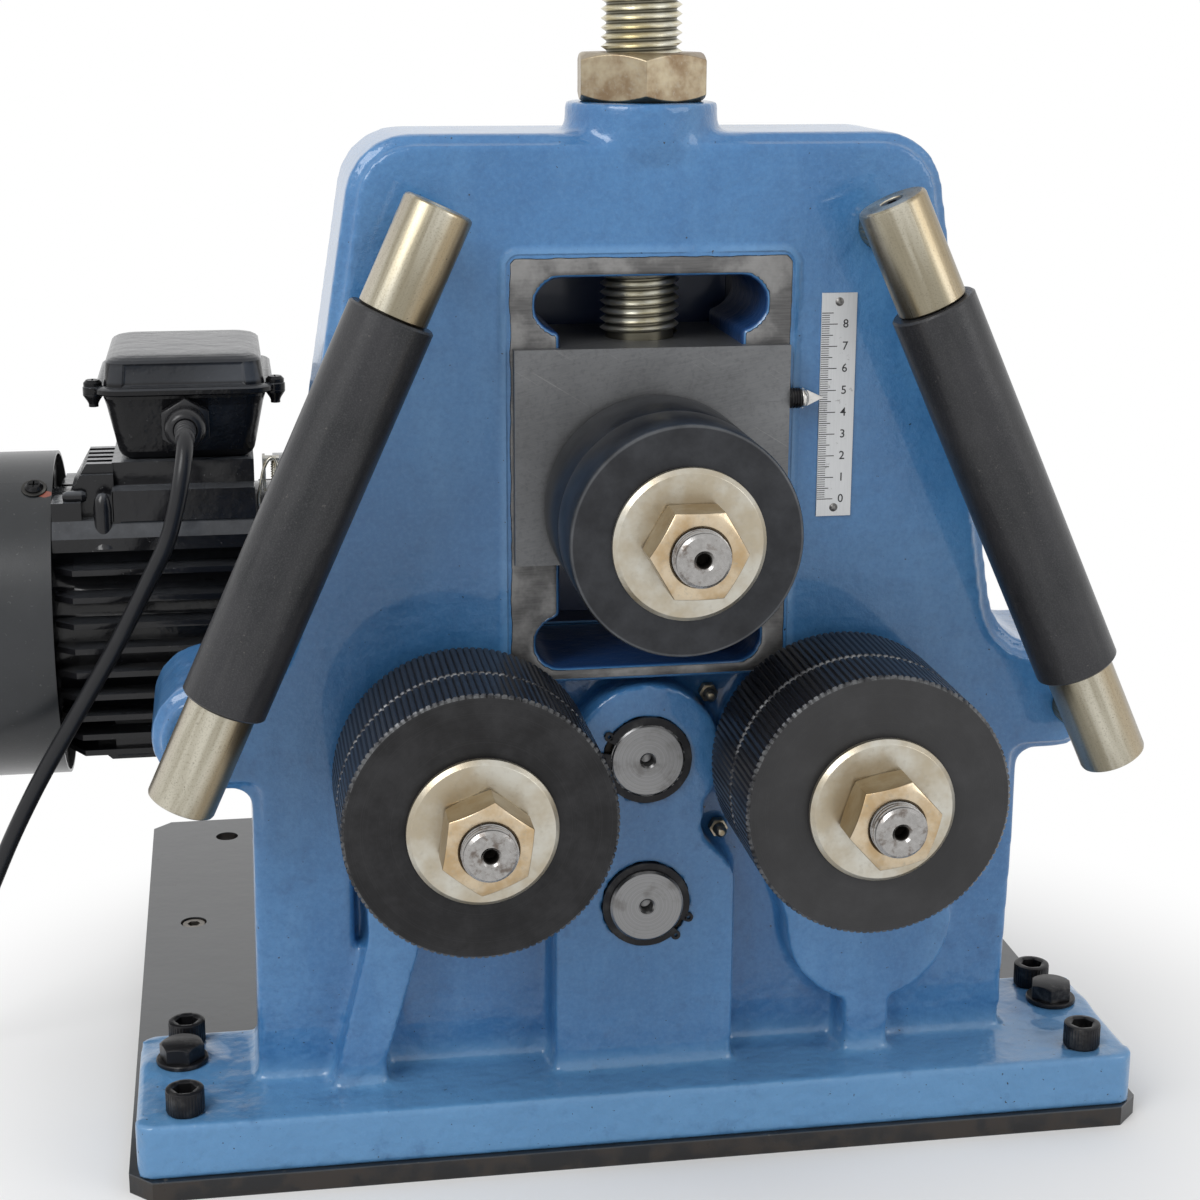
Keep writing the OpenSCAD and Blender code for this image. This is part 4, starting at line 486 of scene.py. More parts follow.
def cast_weight(p):
    """How far the sand mould's softness rounds the casting at a point: 0 where it is machined, 1 in a fillet."""
    if abs(p.x) < PAD_HALF + 2 * MM and PAD_LOW - 2 * MM < p.z < PAD_HIGH + 2 * MM and p.y < 12 * MM:
        return 0.0
    if abs(p.x) < SLOT_HALF + 12 * MM and SLOT_LOW - 3 * MM < p.z < SLOT_HIGH + 3 * MM:
        return 0.0
    for centre_x, centre_z, radius in ((0, IDLER_Z, 24), (0, DRIVE_Z, 24), (ROLL_X, LOW_ROLL_Z, 34)):
        if math.hypot(abs(p.x) - centre_x, p.z - centre_z) < radius * MM and p.y < 16 * MM:
            return 0.0
    if p.y > 66 * MM:
        return 0.0
    if p.z < FOOT_TOP + 2 * MM and p.y < -14 * MM:
        return 0.05
    near_foot = abs(p.z - FOOT_TOP - 3 * MM) < 10 * MM and p.y > -14 * MM
    near_boss = math.hypot(p.x, p.y - 30 * MM) < 50 * MM and abs(p.z - WALL_TOP) < 9 * MM
    bulge = in_bulge(p) and p.y < 3 * MM
    recess = 1 * MM < p.y < 30 * MM and p.z < SLOT_LOW and abs(p.x) < 150 * MM
    return 1.0 if near_foot or near_boss or bulge or recess else 0.3

def applied(piece):
    """The mesh of an object as it stands, with its modifiers."""
    bpy.context.view_layer.update()
    return bpy.data.meshes.new_from_object(piece.evaluated_get(bpy.context.evaluated_depsgraph_get()))


raw = bpy.data.meshes.new("casting_raw")
bm = merged("casting")
bm.to_mesh(raw)
bm.free()
blank = bpy.data.objects.new("casting_blank", raw)
scene.collection.objects.link(blank)
grit = blank.modifiers.new("grit", "REMESH")
grit.mode = "VOXEL"
grit.voxel_size = CAST_VOXEL
soft = applied(blank)
blank.modifiers.clear()
blank.data = soft
for vertex in soft.vertices:
    if vertex.co.y < 0 and in_bulge(vertex.co):
        share = min(max((vertex.co.z - BULGE_LOW) / (WALL_TOP - BULGE_LOW), 0), 1)
        vertex.co.y *= share * (2 - share)
fillets = blank.vertex_groups.new(name="fillets")
shares = {}
for vertex in soft.vertices:
    shares.setdefault(cast_weight(vertex.co), []).append(vertex.index)
for share, indices in shares.items():
    fillets.add(indices, share, "REPLACE")
for turns, group in ((2, ""), (26, "fillets")):
    rubbing = blank.modifiers.new("rubbing", "SMOOTH")
    rubbing.factor = 0.5
    rubbing.iterations = turns
    rubbing.vertex_group = group
thin = blank.modifiers.new("thin", "DECIMATE")
thin.ratio = CAST_TRIANGLES / (2 * len(soft.polygons))
bm = bmesh.new()
bm.from_mesh(applied(blank))
bpy.data.objects.remove(blank)

enamel = Finish("blue_enamel_paint", Specular_Ior_Level=0.35, Coat_Roughness=0.06, Coat_IOR=1.5)
x, y, z = enamel.axes()
broad = enamel.noise(9, 4, 0.6)
streaks = enamel.noise(22, 4, 0.65, enamel.stretched((1, 1, 0.3)))
mottle = enamel.noise(130, 4, 0.7)
grain = enamel.noise(430, 3, 0.65)
beside = (abs(x) - PAD_HALF + PAD_ROUND).larger(0)
beyond = (z - PAD_HIGH + PAD_ROUND).larger(PAD_LOW + PAD_ROUND - z).larger(0)
off_pad = (beside * beside + beyond * beyond).power(0.5) - PAD_ROUND
# A bead of thick paint round the pad: its relief is real, and its paler blue is a painted highlight.
bead_and_highlight = (off_pad + 0.0002).ramp(0, 0.0010) * (0.0046 - off_pad).ramp(0, 0.0030) * (0.002 - y).ramp(0, 0.0005)
bead_and_highlight = bead_and_highlight * enamel.noise(34, 3, 0.6).ramp(0.20, 0.55)
# Dark blue patches over the lower casting, fading out between 200 and 250 mm high.
low_dark_patches = enamel.noise(38, 5, 0.7).ramp(0.54, 0.74) * (0.25 - z).ramp(0, 0.05)
dirt = enamel.noise(420, 2, 0.6).ramp(0.72, 0.75)
ragged = 0.0022 * (enamel.noise(70, 3) - 0.5)
bare = (PAD_HALF - PAD_EDGE - abs(x) + ragged).ramp(0, 0.0004)
bare = bare * (z - PAD_LOW - PAD_EDGE + ragged).ramp(0, 0.0004) * (PAD_HIGH - PAD_EDGE - z + ragged).ramp(0, 0.0004)
bare = bare * (-1.0 * MM - y).ramp(0, 0.0002)
worn = 0
for centre_z in (IDLER_Z, DRIVE_Z):
    off = (x * x + (z - centre_z) * (z - centre_z)).power(0.5)
    chips = off + 0.003 * (enamel.noise(190, 3, 0.6) - 0.5)
    worn = (WORN_R - chips).ramp(-0.0003, 0.0003).larger(worn)
worn = worn * (0.0035 - y).ramp(0, 0.001)
# Painted shade: the slot's inner walls, behind the front face, are painted a deep dark blue.
slot_shade = (SLOT_HALF + 19 * MM - abs(x)).ramp(0, 0.0005) * (y + 0.9 * MM).ramp(0, 0.0006)
slot_shade = slot_shade * (z - SLOT_LOW + 3 * MM).ramp(0, 0.0005) * (SLOT_HIGH + 3 * MM - z).ramp(0, 0.0005)
blue = enamel.layers(
    enamel.blend(broad.ramp(0.3, 0.72), BLUE_DEEP, BLUE_PALE),
    (0.45 * streaks.ramp(0.45, 0.75), (0.105, 0.265, 0.490)),
    (0.40 * mottle.ramp(0.42, 0.72), (0.030, 0.118, 0.285)),
    (0.20 * grain.ramp(0.45, 0.70), (0.100, 0.250, 0.470)),
    (0.20 * grain.ramp(0.50, 0.30), (0.024, 0.098, 0.250)),
    # Painted light: the enamel is paler on the foot, below about 52 mm, as on a lit top face.
    (0.75 * (0.052 - z).ramp(0, 0.012), (0.105, 0.260, 0.465)),
    # Painted highlight on the paint bead round the pad.
    (0.35 * bead_and_highlight, (0.160, 0.330, 0.560)),
    (0.45 * low_dark_patches, (0.018, 0.072, 0.190)),
    (dirt, (0.01, 0.02, 0.03)),
    (0.85 * slot_shade, (0.008, 0.030, 0.125)),
    (worn, (0.020, 0.021, 0.024)),
)
stains = enamel.noise(34, 5, 0.65).ramp(0.40, 0.66)
milled = enamel.noise(70, 3, 0.6, enamel.stretched((1, 1, 14)))
iron = enamel.blend(stains, (0.060, 0.060, 0.062), (0.250, 0.248, 0.245))
iron = enamel.blend(0.5 * milled, iron, (0.330, 0.325, 0.320))
enamel.set(
    Base_Color=enamel.blend(bare, blue, iron),
    Metallic=0.85 * bare,
    Roughness=enamel.maths("MULTIPLY_ADD", bare, 0.16, 0.27) + 0.10 * broad + 0.2 * worn,
    Coat_Weight=0.65 * (1.0 - bare.larger(worn)),
)
thick = (z - 0.06).ramp(0.06, -0.02)
enamel.relief(
    (enamel.noise(24, 3, 0.5), 0.0022),
    (enamel.noise(62, 2, 0.5) * (0.35 + thick), 0.0020),
    (mottle * (1.0 - bare), 0.00060),
    (grain * (1.0 - bare), 0.00016),
    (bead_and_highlight, 0.0007),
    (bare, -0.0003),
    (worn, -0.0003),
)
make("casting_enamelled", bm, enamel, "frame", "casting", sharp=50)


# Rear cover and bushes: a cast cover in the same enamel, held by socket screws, closes the gear chamber.
# Bronze bushes in it and in the casting carry the shafts.
def painted(name, base, light, rough=0.3, grain=60, bump=0.0006, clear=0.4):
    """A sprayed paint with a soft orange peel and a little dirt."""
    paint = Finish(name, Coat_Roughness=0.1)
    cloud = paint.noise(grain / 4, 4, 0.6)
    dust = paint.noise(grain * 7, 2).ramp(0.70, 0.76)
    colour = paint.blend(cloud.ramp(0.3, 0.7), base, light)
    paint.set(
        Base_Color=paint.blend(0.5 * dust, colour, (0.10, 0.10, 0.10)),
        Roughness=rough + 0.12 * cloud,
        Coat_Weight=clear,
    )
    paint.relief((paint.noise(grain, 3), bump), (paint.noise(grain * 5, 2), bump / 8))
    return paint


def oiled_black(name, base=(0.016, 0.016, 0.018), edge=(0.09, 0.088, 0.085), rough=0.42):
    """Steel blackened in a hot oxide bath and oiled: dark, slightly metallic, with faint cloudy patches."""
    black = Finish(name, Metallic=0.55, Specular_Ior_Level=0.3)
    patches = black.noise(110, 4, 0.65)
    black.set(
        Base_Color=black.blend(patches.ramp(0.45, 0.85), base, edge),
        Roughness=rough - 0.12 * patches,
    )
    black.relief((black.noise(700, 2), 0.00004))
    return black


def cast_bronze(name):
    """Cast bronze, cloudy brown to gold, with dark oil on the end that faces forward."""
    bronze = Finish(name, Metallic=1.0)
    cloud = bronze.noise(90, 3)
    oil = (0.0030 - bronze.axes()[1]).ramp(0, 0.0010)
    colour = bronze.blend(cloud, (0.42, 0.24, 0.09), (0.62, 0.40, 0.17))
    bronze.set(Base_Color=bronze.blend(oil, colour, (0.020, 0.018, 0.016)), Roughness=0.32 + 0.15 * cloud)
    return bronze


cover_enamel = painted("cover_enamel", BLUE_DEEP, BLUE_PALE, grain=50, bump=0.0010)
from_cad("rear_cover_enamelled", "rear_cover", cover_enamel, "frame", 1.5 * MM, segments=3)
black_oxide = oiled_black("black_oxide_steel")
coat("shaft_bushes", cast_bronze("bush_bronze"))
coat("block_bushes", cast_bronze("block_bush_bronze"))


# Slot guard: a shallow box folded from thin sheet and enamelled with the casting. It is riveted behind the slot and
# keeps chips and fingers off the sliding block. Its inside is painted a dark navy as painted shade.
GUARD_X = 55 * MM
GUARD_LOW = 240.4 * MM
GUARD_HIGH = 429.5 * MM
GUARD_FRONT = 72.1 * MM
GUARD_BACK = 92 * MM
GUARD_LIP = 11 * MM
COVER_TOP = 268.6 * MM
SHEET = 1.5 * MM
RIVET_R = 2.6 * MM


def cut_out(points, along, bm=None):
    """A flat shape with these corners, made solid along a vector."""
    new = bmesh.new()
    face = new.faces.new([new.verts.new(point) for point in points])
    raised = bmesh.ops.extrude_face_region(new, geom=[face])["geom"]
    bmesh.ops.translate(new, verts=[part for part in raised if isinstance(part, bmesh.types.BMVert)], vec=along)
    bmesh.ops.recalc_face_normals(new, faces=new.faces)
    return join(bm, new)


guard = bmesh.new()
middle = (0, (GUARD_FRONT + GUARD_BACK) / 2, (GUARD_LOW + GUARD_HIGH) / 2)
size = (2 * GUARD_X, GUARD_BACK - GUARD_FRONT, GUARD_HIGH - GUARD_LOW, 1)
bmesh.ops.create_cube(guard, size=1, matrix=Matrix.Translation(middle) @ Matrix.Diagonal(size))
bmesh.ops.delete(guard, geom=[face for face in guard.faces if face.normal.y < -0.9], context="FACES_ONLY")
bmesh.ops.solidify(guard, geom=guard.faces[:], thickness=SHEET)
lip_x = GUARD_X + GUARD_LIP
lip_top = GUARD_HIGH + GUARD_LIP
guard = cut_out([
    (x, GUARD_FRONT, z) for x, z in (
        (-lip_x, COVER_TOP), (-lip_x, lip_top), (lip_x, lip_top), (lip_x, COVER_TOP), (GUARD_X, COVER_TOP),
        (GUARD_X, GUARD_HIGH), (-GUARD_X, GUARD_HIGH), (-GUARD_X, COVER_TOP),
    )
], (0, SHEET, 0), guard)
for side in (-1, 1):
    for z in (290 * MM, 352 * MM, 414 * MM):
        dome = [(0, 0), (RIVET_R, 0), (RIVET_R * 0.9, 0.7 * MM), (RIVET_R * 0.5, 1.3 * MM), (0, 1.5 * MM)]
        guard = lathe(dome, along_y(side * (lip_x - 5 * MM), GUARD_FRONT + SHEET, z), 20, guard)
guard_enamel = painted("guard_enamel", BLUE_DEEP, BLUE_PALE, grain=60, bump=0.0003)
x, y, z = guard_enamel.axes()
facing = guard_enamel.facing()
outward = x * facing[0] + (y - GUARD_FRONT) * facing[1] + (z - (GUARD_LOW + GUARD_HIGH) / 2) * facing[2]
# Painted shade: the faces that look into the box are a dark navy.
guard_enamel.set(Base_Color=guard_enamel.blend(outward < -0.001, guard_enamel.colour(), (0.009, 0.031, 0.100)))
make("slot_guard_folded", guard, guard_enamel, "frame", (), bevel=0.3 * MM)


# Socket head screws: knurled heads with a hexagon socket, blackened. Four hold the foot to the base plate,
# eight hold the rear cover and four hold the keeper plate of the sliding block.
HEX_STEPS = 72


def near(value, wanted):
    """Whether two lengths agree to a thousandth of a millimetre."""
    return abs(value - wanted) < 0.001 * MM


def to_flats(vert, flats):
    """How far a hexagon of that width across its flats reaches from its axis towards a point."""
    return flats / 2 / math.cos(math.atan2(vert.co.y, vert.co.x) % (math.pi / 3) - math.pi / 6)


def to_hexagon(bm, radius, flats):
    """Moves every ring of points that has this radius out to a hexagon of that width across its flats."""
    for vert in bm.verts:
        if near(math.hypot(vert.co.x, vert.co.y), radius):
            vert.co.xy = vert.co.xy.normalized() * to_flats(vert, flats)


def socket_head(place, size, bm=None):
    """The head of one socket screw of that thread diameter, standing on its underside."""
    rim = size * 0.75
    flats = size * 0.8
    floor_z = size * 0.45
    edge = size * 0.05
    key = flats * 0.55
    lip = key + 0.4 * MM
    new = lathe([
        (0, floor_z - flats * 0.2), (key, floor_z), (key, size - edge), (lip + edge, size), (rim - edge * 2, size),
        (rim - edge * 0.4, size - edge * 0.7), (rim, size - edge * 2), (rim, edge * 2), (rim - edge, 0), (0, 0),
    ], None, HEX_STEPS)
    to_hexagon(new, key, flats)
    for vert in new.verts:
        radius = math.hypot(vert.co.x, vert.co.y)
        step = round(math.atan2(vert.co.y, vert.co.x) / math.tau * HEX_STEPS)
        if near(radius, rim) and step % 2:
            vert.co.xy *= 1 - 0.3 * MM / rim
    bmesh.ops.transform(new, matrix=place, verts=new.verts)
    return join(bm, new)


def solids_of(node):
    """The middle and the highest corner of each separate solid of a CAD node."""
    bm = merged(node)
    left = set(bm.verts)
    boxes = []
    while left:
        reached = [left.pop()]
        for vert in reached:
            for edge in vert.link_edges:
                other = edge.other_vert(vert)
                if other in left:
                    left.remove(other)
                    reached.append(other)
        low = Vector([min(vert.co[i] for vert in reached) for i in range(3)])
        high = Vector([max(vert.co[i] for vert in reached) for i in range(3)])
        boxes.append((low, high))
    bm.free()
    return [((low + high) / 2, high) for low, high in sorted(boxes, key=lambda pair: tuple(pair[0]))]


heads = None
for centre, high in solids_of("base_socket_screws"):
    heads = socket_head(Matrix.Translation((centre.x, centre.y, FOOT_TOP)), 12 * MM, heads)
make("foot_socket_screws", heads, black_oxide, "frame", "base_socket_screws", bevel=0.15 * MM)
size = 8 * MM
for node, body in (("cover_screws", "frame"), ("keeper_screws", "slide_block")):
    heads = None
    for centre, high in solids_of(node):
        heads = socket_head(along_y(centre.x, high.y - size, centre.z), size, heads)
    make(node + "_blackened", heads, black_oxide, body, node, bevel=0.1 * MM)


# Foot bolts: two hexagon bolts with flat washers on raised lands, blackened and a little scuffed. With the socket
# screws they hold the frame's foot to the base plate.
NO_BORE = 0.0005 * MM
LAND_TOP = FOOT_TOP + 1.5 * MM
FOOT_WASHER_T = 2.5 * MM
FOOT_BOLT_TURN = 11


def hexagon(place, flats, height, bore, bm=None, both=True):
    """A hexagon nut or bolt head about Z whose corners are turned down at the top face, and at the lower one too."""
    turned = flats / 2 * 0.96
    mark = flats / 2 / math.cos(math.pi / 6) * 1.5
    drop = math.tan(math.radians(30))
    low = [(bore + 0.8 * MM, 0), (turned, 0)] if both else [(bore, 0)]
    mouth = [(bore, height - 0.8 * MM), (bore, 0.8 * MM)] if both else [(bore, height)]
    new = lathe(low + [(mark, 0), (mark, height), (turned, height), (bore + 0.8 * MM, height)] + mouth
                + ([(bore + 0.8 * MM, 0)] if both else []), None, HEX_STEPS)
    for vert in new.verts:
        if near(math.hypot(vert.co.x, vert.co.y), mark):
            across = to_flats(vert, flats)
            fall = (across - turned) * drop
            if vert.co.z > height / 2:
                vert.co.z -= fall
            elif both:
                vert.co.z += fall
            vert.co.xy = vert.co.xy.normalized() * across
    bmesh.ops.remove_doubles(new, verts=new.verts, dist=0.001 * MM)
    bmesh.ops.recalc_face_normals(new, faces=new.faces)
    bmesh.ops.transform(new, matrix=place, verts=new.verts)
    return join(bm, new)


def washer(place, radius, bore, height, chamfer, bm=None, steps=96):
    """A flat ring about Z with both its outer edges chamfered."""
    return lathe([
        (bore, 0), (radius - chamfer, 0), (radius, chamfer), (radius, height - chamfer), (radius - chamfer, height),
        (bore, height), (bore, 0),
    ], place, steps, bm)


bolts = None
for centre, high in solids_of("base_hex_bolts"):
    seat = Matrix.Translation((centre.x, centre.y, LAND_TOP))
    bolts = washer(seat, 12.5 * MM, 5 * MM, FOOT_WASHER_T, 0.5 * MM, bolts)
    turn = Matrix.Rotation(math.radians(math.copysign(FOOT_BOLT_TURN, centre.x)), 4, "Z")
    seat = Matrix.Translation((0, 0, FOOT_WASHER_T)) @ seat @ turn
    bolts = hexagon(seat, 19 * MM, 7.5 * MM, NO_BORE, bolts, both=False)
make("foot_hexagon_bolts", bolts, oiled_black("bolt_black", edge=(0.13, 0.125, 0.12)), "frame", "base_hex_bolts",
     bevel=0.25 * MM)


# Scale plate: a thin aluminium strip, stamped in millimetres and centimetres, riveted beside the slot. The pointer
# shows on it how far the top roll is fed down.
SCALE_LEFT = 77.2 * MM
SCALE_RIGHT = 93.5 * MM
SCALE_FACE = -0.8 * MM
SCALE_ZERO = 315 * MM
SCALE_UNIT = 10 * MM
INK = 0.06 * MM
CENTIMETRE_MARK = 7.4 * MM
HALF_MARK = 5.3 * MM
MILLIMETRE_MARK = 3.6 * MM

scale_metal = Finish("scale_metal", Metallic=0.75)
brushed = scale_metal.noise(60, 3, 0.6, scale_metal.stretched((30, 1, 1)))
spots = scale_metal.noise(240, 3, 0.7).ramp(0.66, 0.74)
scale_colour = scale_metal.blend(brushed, (0.52, 0.53, 0.54), (0.68, 0.69, 0.70))
scale_metal.set(
    Base_Color=scale_metal.blend(0.6 * spots, scale_colour, (0.20, 0.20, 0.20)), Roughness=0.38 + 0.14 * brushed
)
from_cad("scale_strip", "scale_plate", scale_metal, "frame", 0.15 * MM)
ink = Finish("scale_ink", Base_Color=(0.02, 0.02, 0.022), Roughness=0.6)


def bar_between(bm, low, high):
    """Adds a box between two corners."""
    made = bmesh.ops.create_cube(bm, size=1)["verts"]
    size = [high[i] - low[i] for i in range(3)]
    middle = [(high[i] + low[i]) / 2 for i in range(3)]
    bmesh.ops.transform(bm, matrix=Matrix.Translation(middle) @ Matrix.Diagonal((*size, 1)), verts=made)


marks = bmesh.new()
for tick in range(86):
    z = SCALE_ZERO + tick * MM
    length = CENTIMETRE_MARK if tick % 10 == 0 else HALF_MARK if tick % 5 == 0 else MILLIMETRE_MARK
    thick = 0.19 * MM if tick % 5 == 0 else 0.15 * MM
    start = SCALE_LEFT + 0.2 * MM
    bar_between(marks, (start, SCALE_FACE - INK, z - thick), (start + length, SCALE_FACE + INK, z + thick))
for figure in range(9):
    text = bpy.data.curves.new("figure", "FONT")
    text.body = str(figure)
    text.size = 5.4 * MM
    text.offset = 0.04 * MM
    text.extrude = INK
    text.align_x = "CENTER"
    text.align_y = "CENTER"
    text.resolution_u = 3
    holder = bpy.data.objects.new("figure", text)
    scene.collection.objects.link(holder)
    shape = applied(holder)
    shape.transform(Matrix.Translation((SCALE_RIGHT - 5.0 * MM, SCALE_FACE, SCALE_ZERO + figure * SCALE_UNIT))
                    @ Matrix.Rotation(math.pi / 2, 4, "X"))
    marks.from_mesh(shape)
    bpy.data.objects.remove(holder)
    bpy.data.meshes.remove(shape)
make("scale_marks", marks, ink, "frame", (), sharp=20)
rivet_metal = clouded("rivet_metal", 900, 3, (0.05, 0.05, 0.05), (0.34, 0.33, 0.32), 0.32, 0.2, Metallic=0.9)
from_cad("scale_rivets_set", "scale_rivets", rivet_metal, "frame", 0.1 * MM, 20)


# Sliding block: a block of steel, ground bright and gone grey, with a wide front flange that slides on the pad.
# Its keeper plate is screwed on behind. Two pins hold the screw's end in it.
ground = Finish("ground_block", Metallic=0.8)
grain = ground.noise(120, 3, 0.6, ground.stretched((1, 1, 12), (0, math.radians(12), 0)))
scratches = ground.noise(36, 2, 0.4, ground.stretched((1, 1, 40), (0, math.radians(-32), 0))).ramp(0.70, 0.74)
smear = ground.noise(14, 4, 0.6)
grey = ground.layers(
    ground.blend(smear.ramp(0.3, 0.7), (0.100, 0.103, 0.108), (0.178, 0.183, 0.190)),
    (0.45 * grain, (0.285, 0.29, 0.295)),
    (0.20 * ground.noise(520, 4, 0.7).ramp(0.48, 0.66), (0.060, 0.060, 0.062)),
    (0.25 * scratches, (0.36, 0.355, 0.35)),
)
ground.set(Base_Color=grey, Roughness=0.36 + 0.14 * smear)
ground.relief((grain, 0.00003), (scratches, -0.00002))
from_cad("sliding_block_ground", "slide_block", ground, "slide_block", 0.6 * MM)
from_cad("keeper_plate_ground", "block_keeper", ground, "slide_block", 0.6 * MM)
coat("screw_retaining_pins", ground)


# Pointer: a steel stud screwed into the block's flange and ground flush with it, a dark grooved collar, a bright
# round head and a flat arrow.
POINTER_Y = -6.0 * MM
POINTER_Z = 363 * MM
FLANGE_X = 62 * MM
FLANGE_FACE = -7.05 * MM
STUD_R = 1.6 * MM
STUD_LENGTH = 10 * MM
COLLAR_Y = -6.3 * MM
COLLAR_R = 4.6 * MM
COLLAR_LENGTH = 5.0 * MM
GROOVE_R = COLLAR_R - 0.4 * MM


def in_mm(*points):
    """Points given in millimetres."""
    return [tuple(part * MM for part in point) for point in points]


pointer_dark = oiled_black("pointer_collar_black", rough=0.35)
bright = clouded("pointer_bright", 400, 3, (0.45, 0.44, 0.42), (0.78, 0.77, 0.75), 0.22, 0.16, Metallic=1.0)
stud = lathe([(0, -STUD_LENGTH), (STUD_R, -STUD_LENGTH), (STUD_R, 0), (0, 0)],
             along_x(FLANGE_X, POINTER_Y, POINTER_Z), 48)
for vert in stud.verts:
    vert.co.y = max(vert.co.y, FLANGE_FACE)
make("pointer_stud", stud, ground, "slide_block", (), sharp=40)
at = along_x(FLANGE_X, COLLAR_Y, POINTER_Z)
collar = [(0, 0.05 * MM), (COLLAR_R - 1.0 * MM, 0.05 * MM)]
for i in range(4):
    collar += [(COLLAR_R, (0.5 + 1.2 * i) * MM), (COLLAR_R, (0.9 + 1.2 * i) * MM),
               (GROOVE_R, (1.2 + 1.2 * i) * MM), (GROOVE_R, (1.4 + 1.2 * i) * MM)]
collar += [(0, COLLAR_LENGTH)]
make("pointer_collar", lathe(collar, at, 48), pointer_dark, "slide_block", "pointer", sharp=30)
ring_part = lathe(in_mm((0, 4.9), (3.7, 4.9), (4.3, 5.5), (4.3, 6.6), (3.8, 7.6), (2.6, 8.4), (0, 8.8)), at, 48)
arrow = cut_out([
    (FLANGE_X + x * MM, COLLAR_Y - 0.7 * MM, POINTER_Z + z * MM) for x, z in ((5.6, -4.7), (15.5, 0), (5.6, 4.7))
], (0, 1.4 * MM, 0), ring_part)
make("pointer_arrow", arrow, bright, "slide_block", (), bevel=0.12 * MM)


# Adjusting screw: M36, rolled thread in yellow zinc. It turns in the boss with a thick lock nut on it, and
# carries a hub with a through bar. Its lower end is held in the block.
SCREW_Y = 30 * MM
SCREW_R = 18 * MM
THREAD_PITCH = 4 * MM
THREAD_ROOT = SCREW_R - 0.61 * THREAD_PITCH
THREAD_FROM = 387.05 * MM
CORE_R = THREAD_ROOT + 0.02 * MM
CREST = SCREW_R - 0.3 * MM
THREAD_TO = 574.6 * MM
HUB_R = 25 * MM
HUB_H = 40 * MM
NUT_FROM = 491.6 * MM
NUT_TURN = 83.7
SCREW_STEPS = 48
BAR_Z = THREAD_TO + HUB_H / 2
BAR_R = 9 * MM
BAR_HALF = 148.5 * MM
BAR_CHAMFER = 1.2 * MM
KNOB_X = 150 * MM
KNOB_R = 15 * MM
NECK_X = 138 * MM


def zinc(name, pale, gold, rough=0.3, cloud=45, edge_noise=0.35):
    """Yellow chromated zinc: metal whose tint drifts between pale straw, gold and a little grey."""
    plated = Finish(name, Metallic=0.92)
    drift = plated.noise(cloud, 4, 0.6)
    fine = plated.noise(cloud * 9, 3, 0.6)
    colour = plated.blend(drift.ramp(0.34, 0.66), pale, gold)
    plated.set(
        Base_Color=plated.blend(edge_noise * fine.ramp(0.5, 0.8), colour, (0.36, 0.33, 0.27)),
        Roughness=rough + 0.16 * drift,
    )
    plated.relief((fine, 0.00004))
    return plated


screw_zinc = Finish("screw_zinc", Metallic=0.92)
x, y, z = screw_zinc.axes()
# Painted shade: the thread's roots are darkened to brown-grey, and the crests keep the plating's tone.
crest = ((x * x + (y - SCREW_Y) * (y - SCREW_Y)).power(0.5) - THREAD_ROOT).ramp(0.0001, 0.0014)
on_hub = (z - THREAD_TO).ramp(-0.0002, 0.0002)
film = screw_zinc.noise(60, 4, 0.6)
tone = screw_zinc.blend(film.ramp(0.35, 0.65), (0.88, 0.87, 0.80), (0.70, 0.64, 0.46))
tone = screw_zinc.blend(crest, (0.150, 0.140, 0.105), tone)
hub_tone = screw_zinc.blend(film.ramp(0.35, 0.65), (0.56, 0.55, 0.48), (0.42, 0.37, 0.25))
screw_zinc.set(Base_Color=screw_zinc.blend(on_hub, tone, hub_tone), Roughness=0.24 + 0.14 * film)
screw_zinc.fine_relief(500, 3, 0.00004)
nut_zinc = zinc("nut_zinc", (0.61, 0.51, 0.37), (0.46, 0.330, 0.185), 0.24, 70, 0.5)
# Painted shade: the nut's side facets, which don't face forward, are darkened to brown, and the front face keeps its
# tone.
forward = nut_zinc.facing()[1]
nut_zinc.set(Base_Color=nut_zinc.blend(0.55 * forward.ramp(-0.75, -0.35), nut_zinc.colour(), (0.230, 0.170, 0.075)))
lock_zinc = zinc("lock_nut_zinc", (0.41, 0.35, 0.245), (0.215, 0.150, 0.090), 0.30, 60, 0.5)
turns = int((THREAD_TO - THREAD_FROM) / THREAD_PITCH) - 1
thread = bmesh.new()
profile = [
    (THREAD_ROOT, 0.0), (THREAD_ROOT, 0.10), (CREST, 0.46), (SCREW_R, 0.52), (CREST, 0.58), (THREAD_ROOT, 0.94),
    (THREAD_ROOT, 1.0),
]
points = [thread.verts.new((r, 0, THREAD_FROM + share * THREAD_PITCH)) for r, share in profile]
edges = [thread.edges.new(pair) for pair in zip(points, points[1:])]
bmesh.ops.spin(thread, geom=points + edges, cent=(0, 0, 0), axis=(0, 0, 1), angle=math.tau * turns,
               dvec=(0, 0, THREAD_PITCH / SCREW_STEPS), steps=SCREW_STEPS * turns)
bmesh.ops.remove_doubles(thread, verts=thread.verts, dist=0.02 * MM)
bmesh.ops.recalc_face_normals(thread, faces=thread.faces)
bmesh.ops.transform(thread, matrix=Matrix.Translation((0, SCREW_Y, 0)), verts=thread.verts)
core = in_mm((0, 357), (12, 357), (14, 359)) + [
    (14 * MM, THREAD_FROM), (CORE_R, THREAD_FROM), (CORE_R, THREAD_TO), (HUB_R - 3 * MM, THREAD_TO),
    (HUB_R, THREAD_TO + 3 * MM), (HUB_R, THREAD_TO + HUB_H - 3 * MM), (HUB_R - 3 * MM, THREAD_TO + HUB_H),
    (0, THREAD_TO + HUB_H),
]
thread = lathe(core, Matrix.Translation((0, SCREW_Y, 0)), 64, thread)
make("adjusting_screw_thread", thread, screw_zinc, "adjusting_screw", "adjusting_screw", sharp=50)
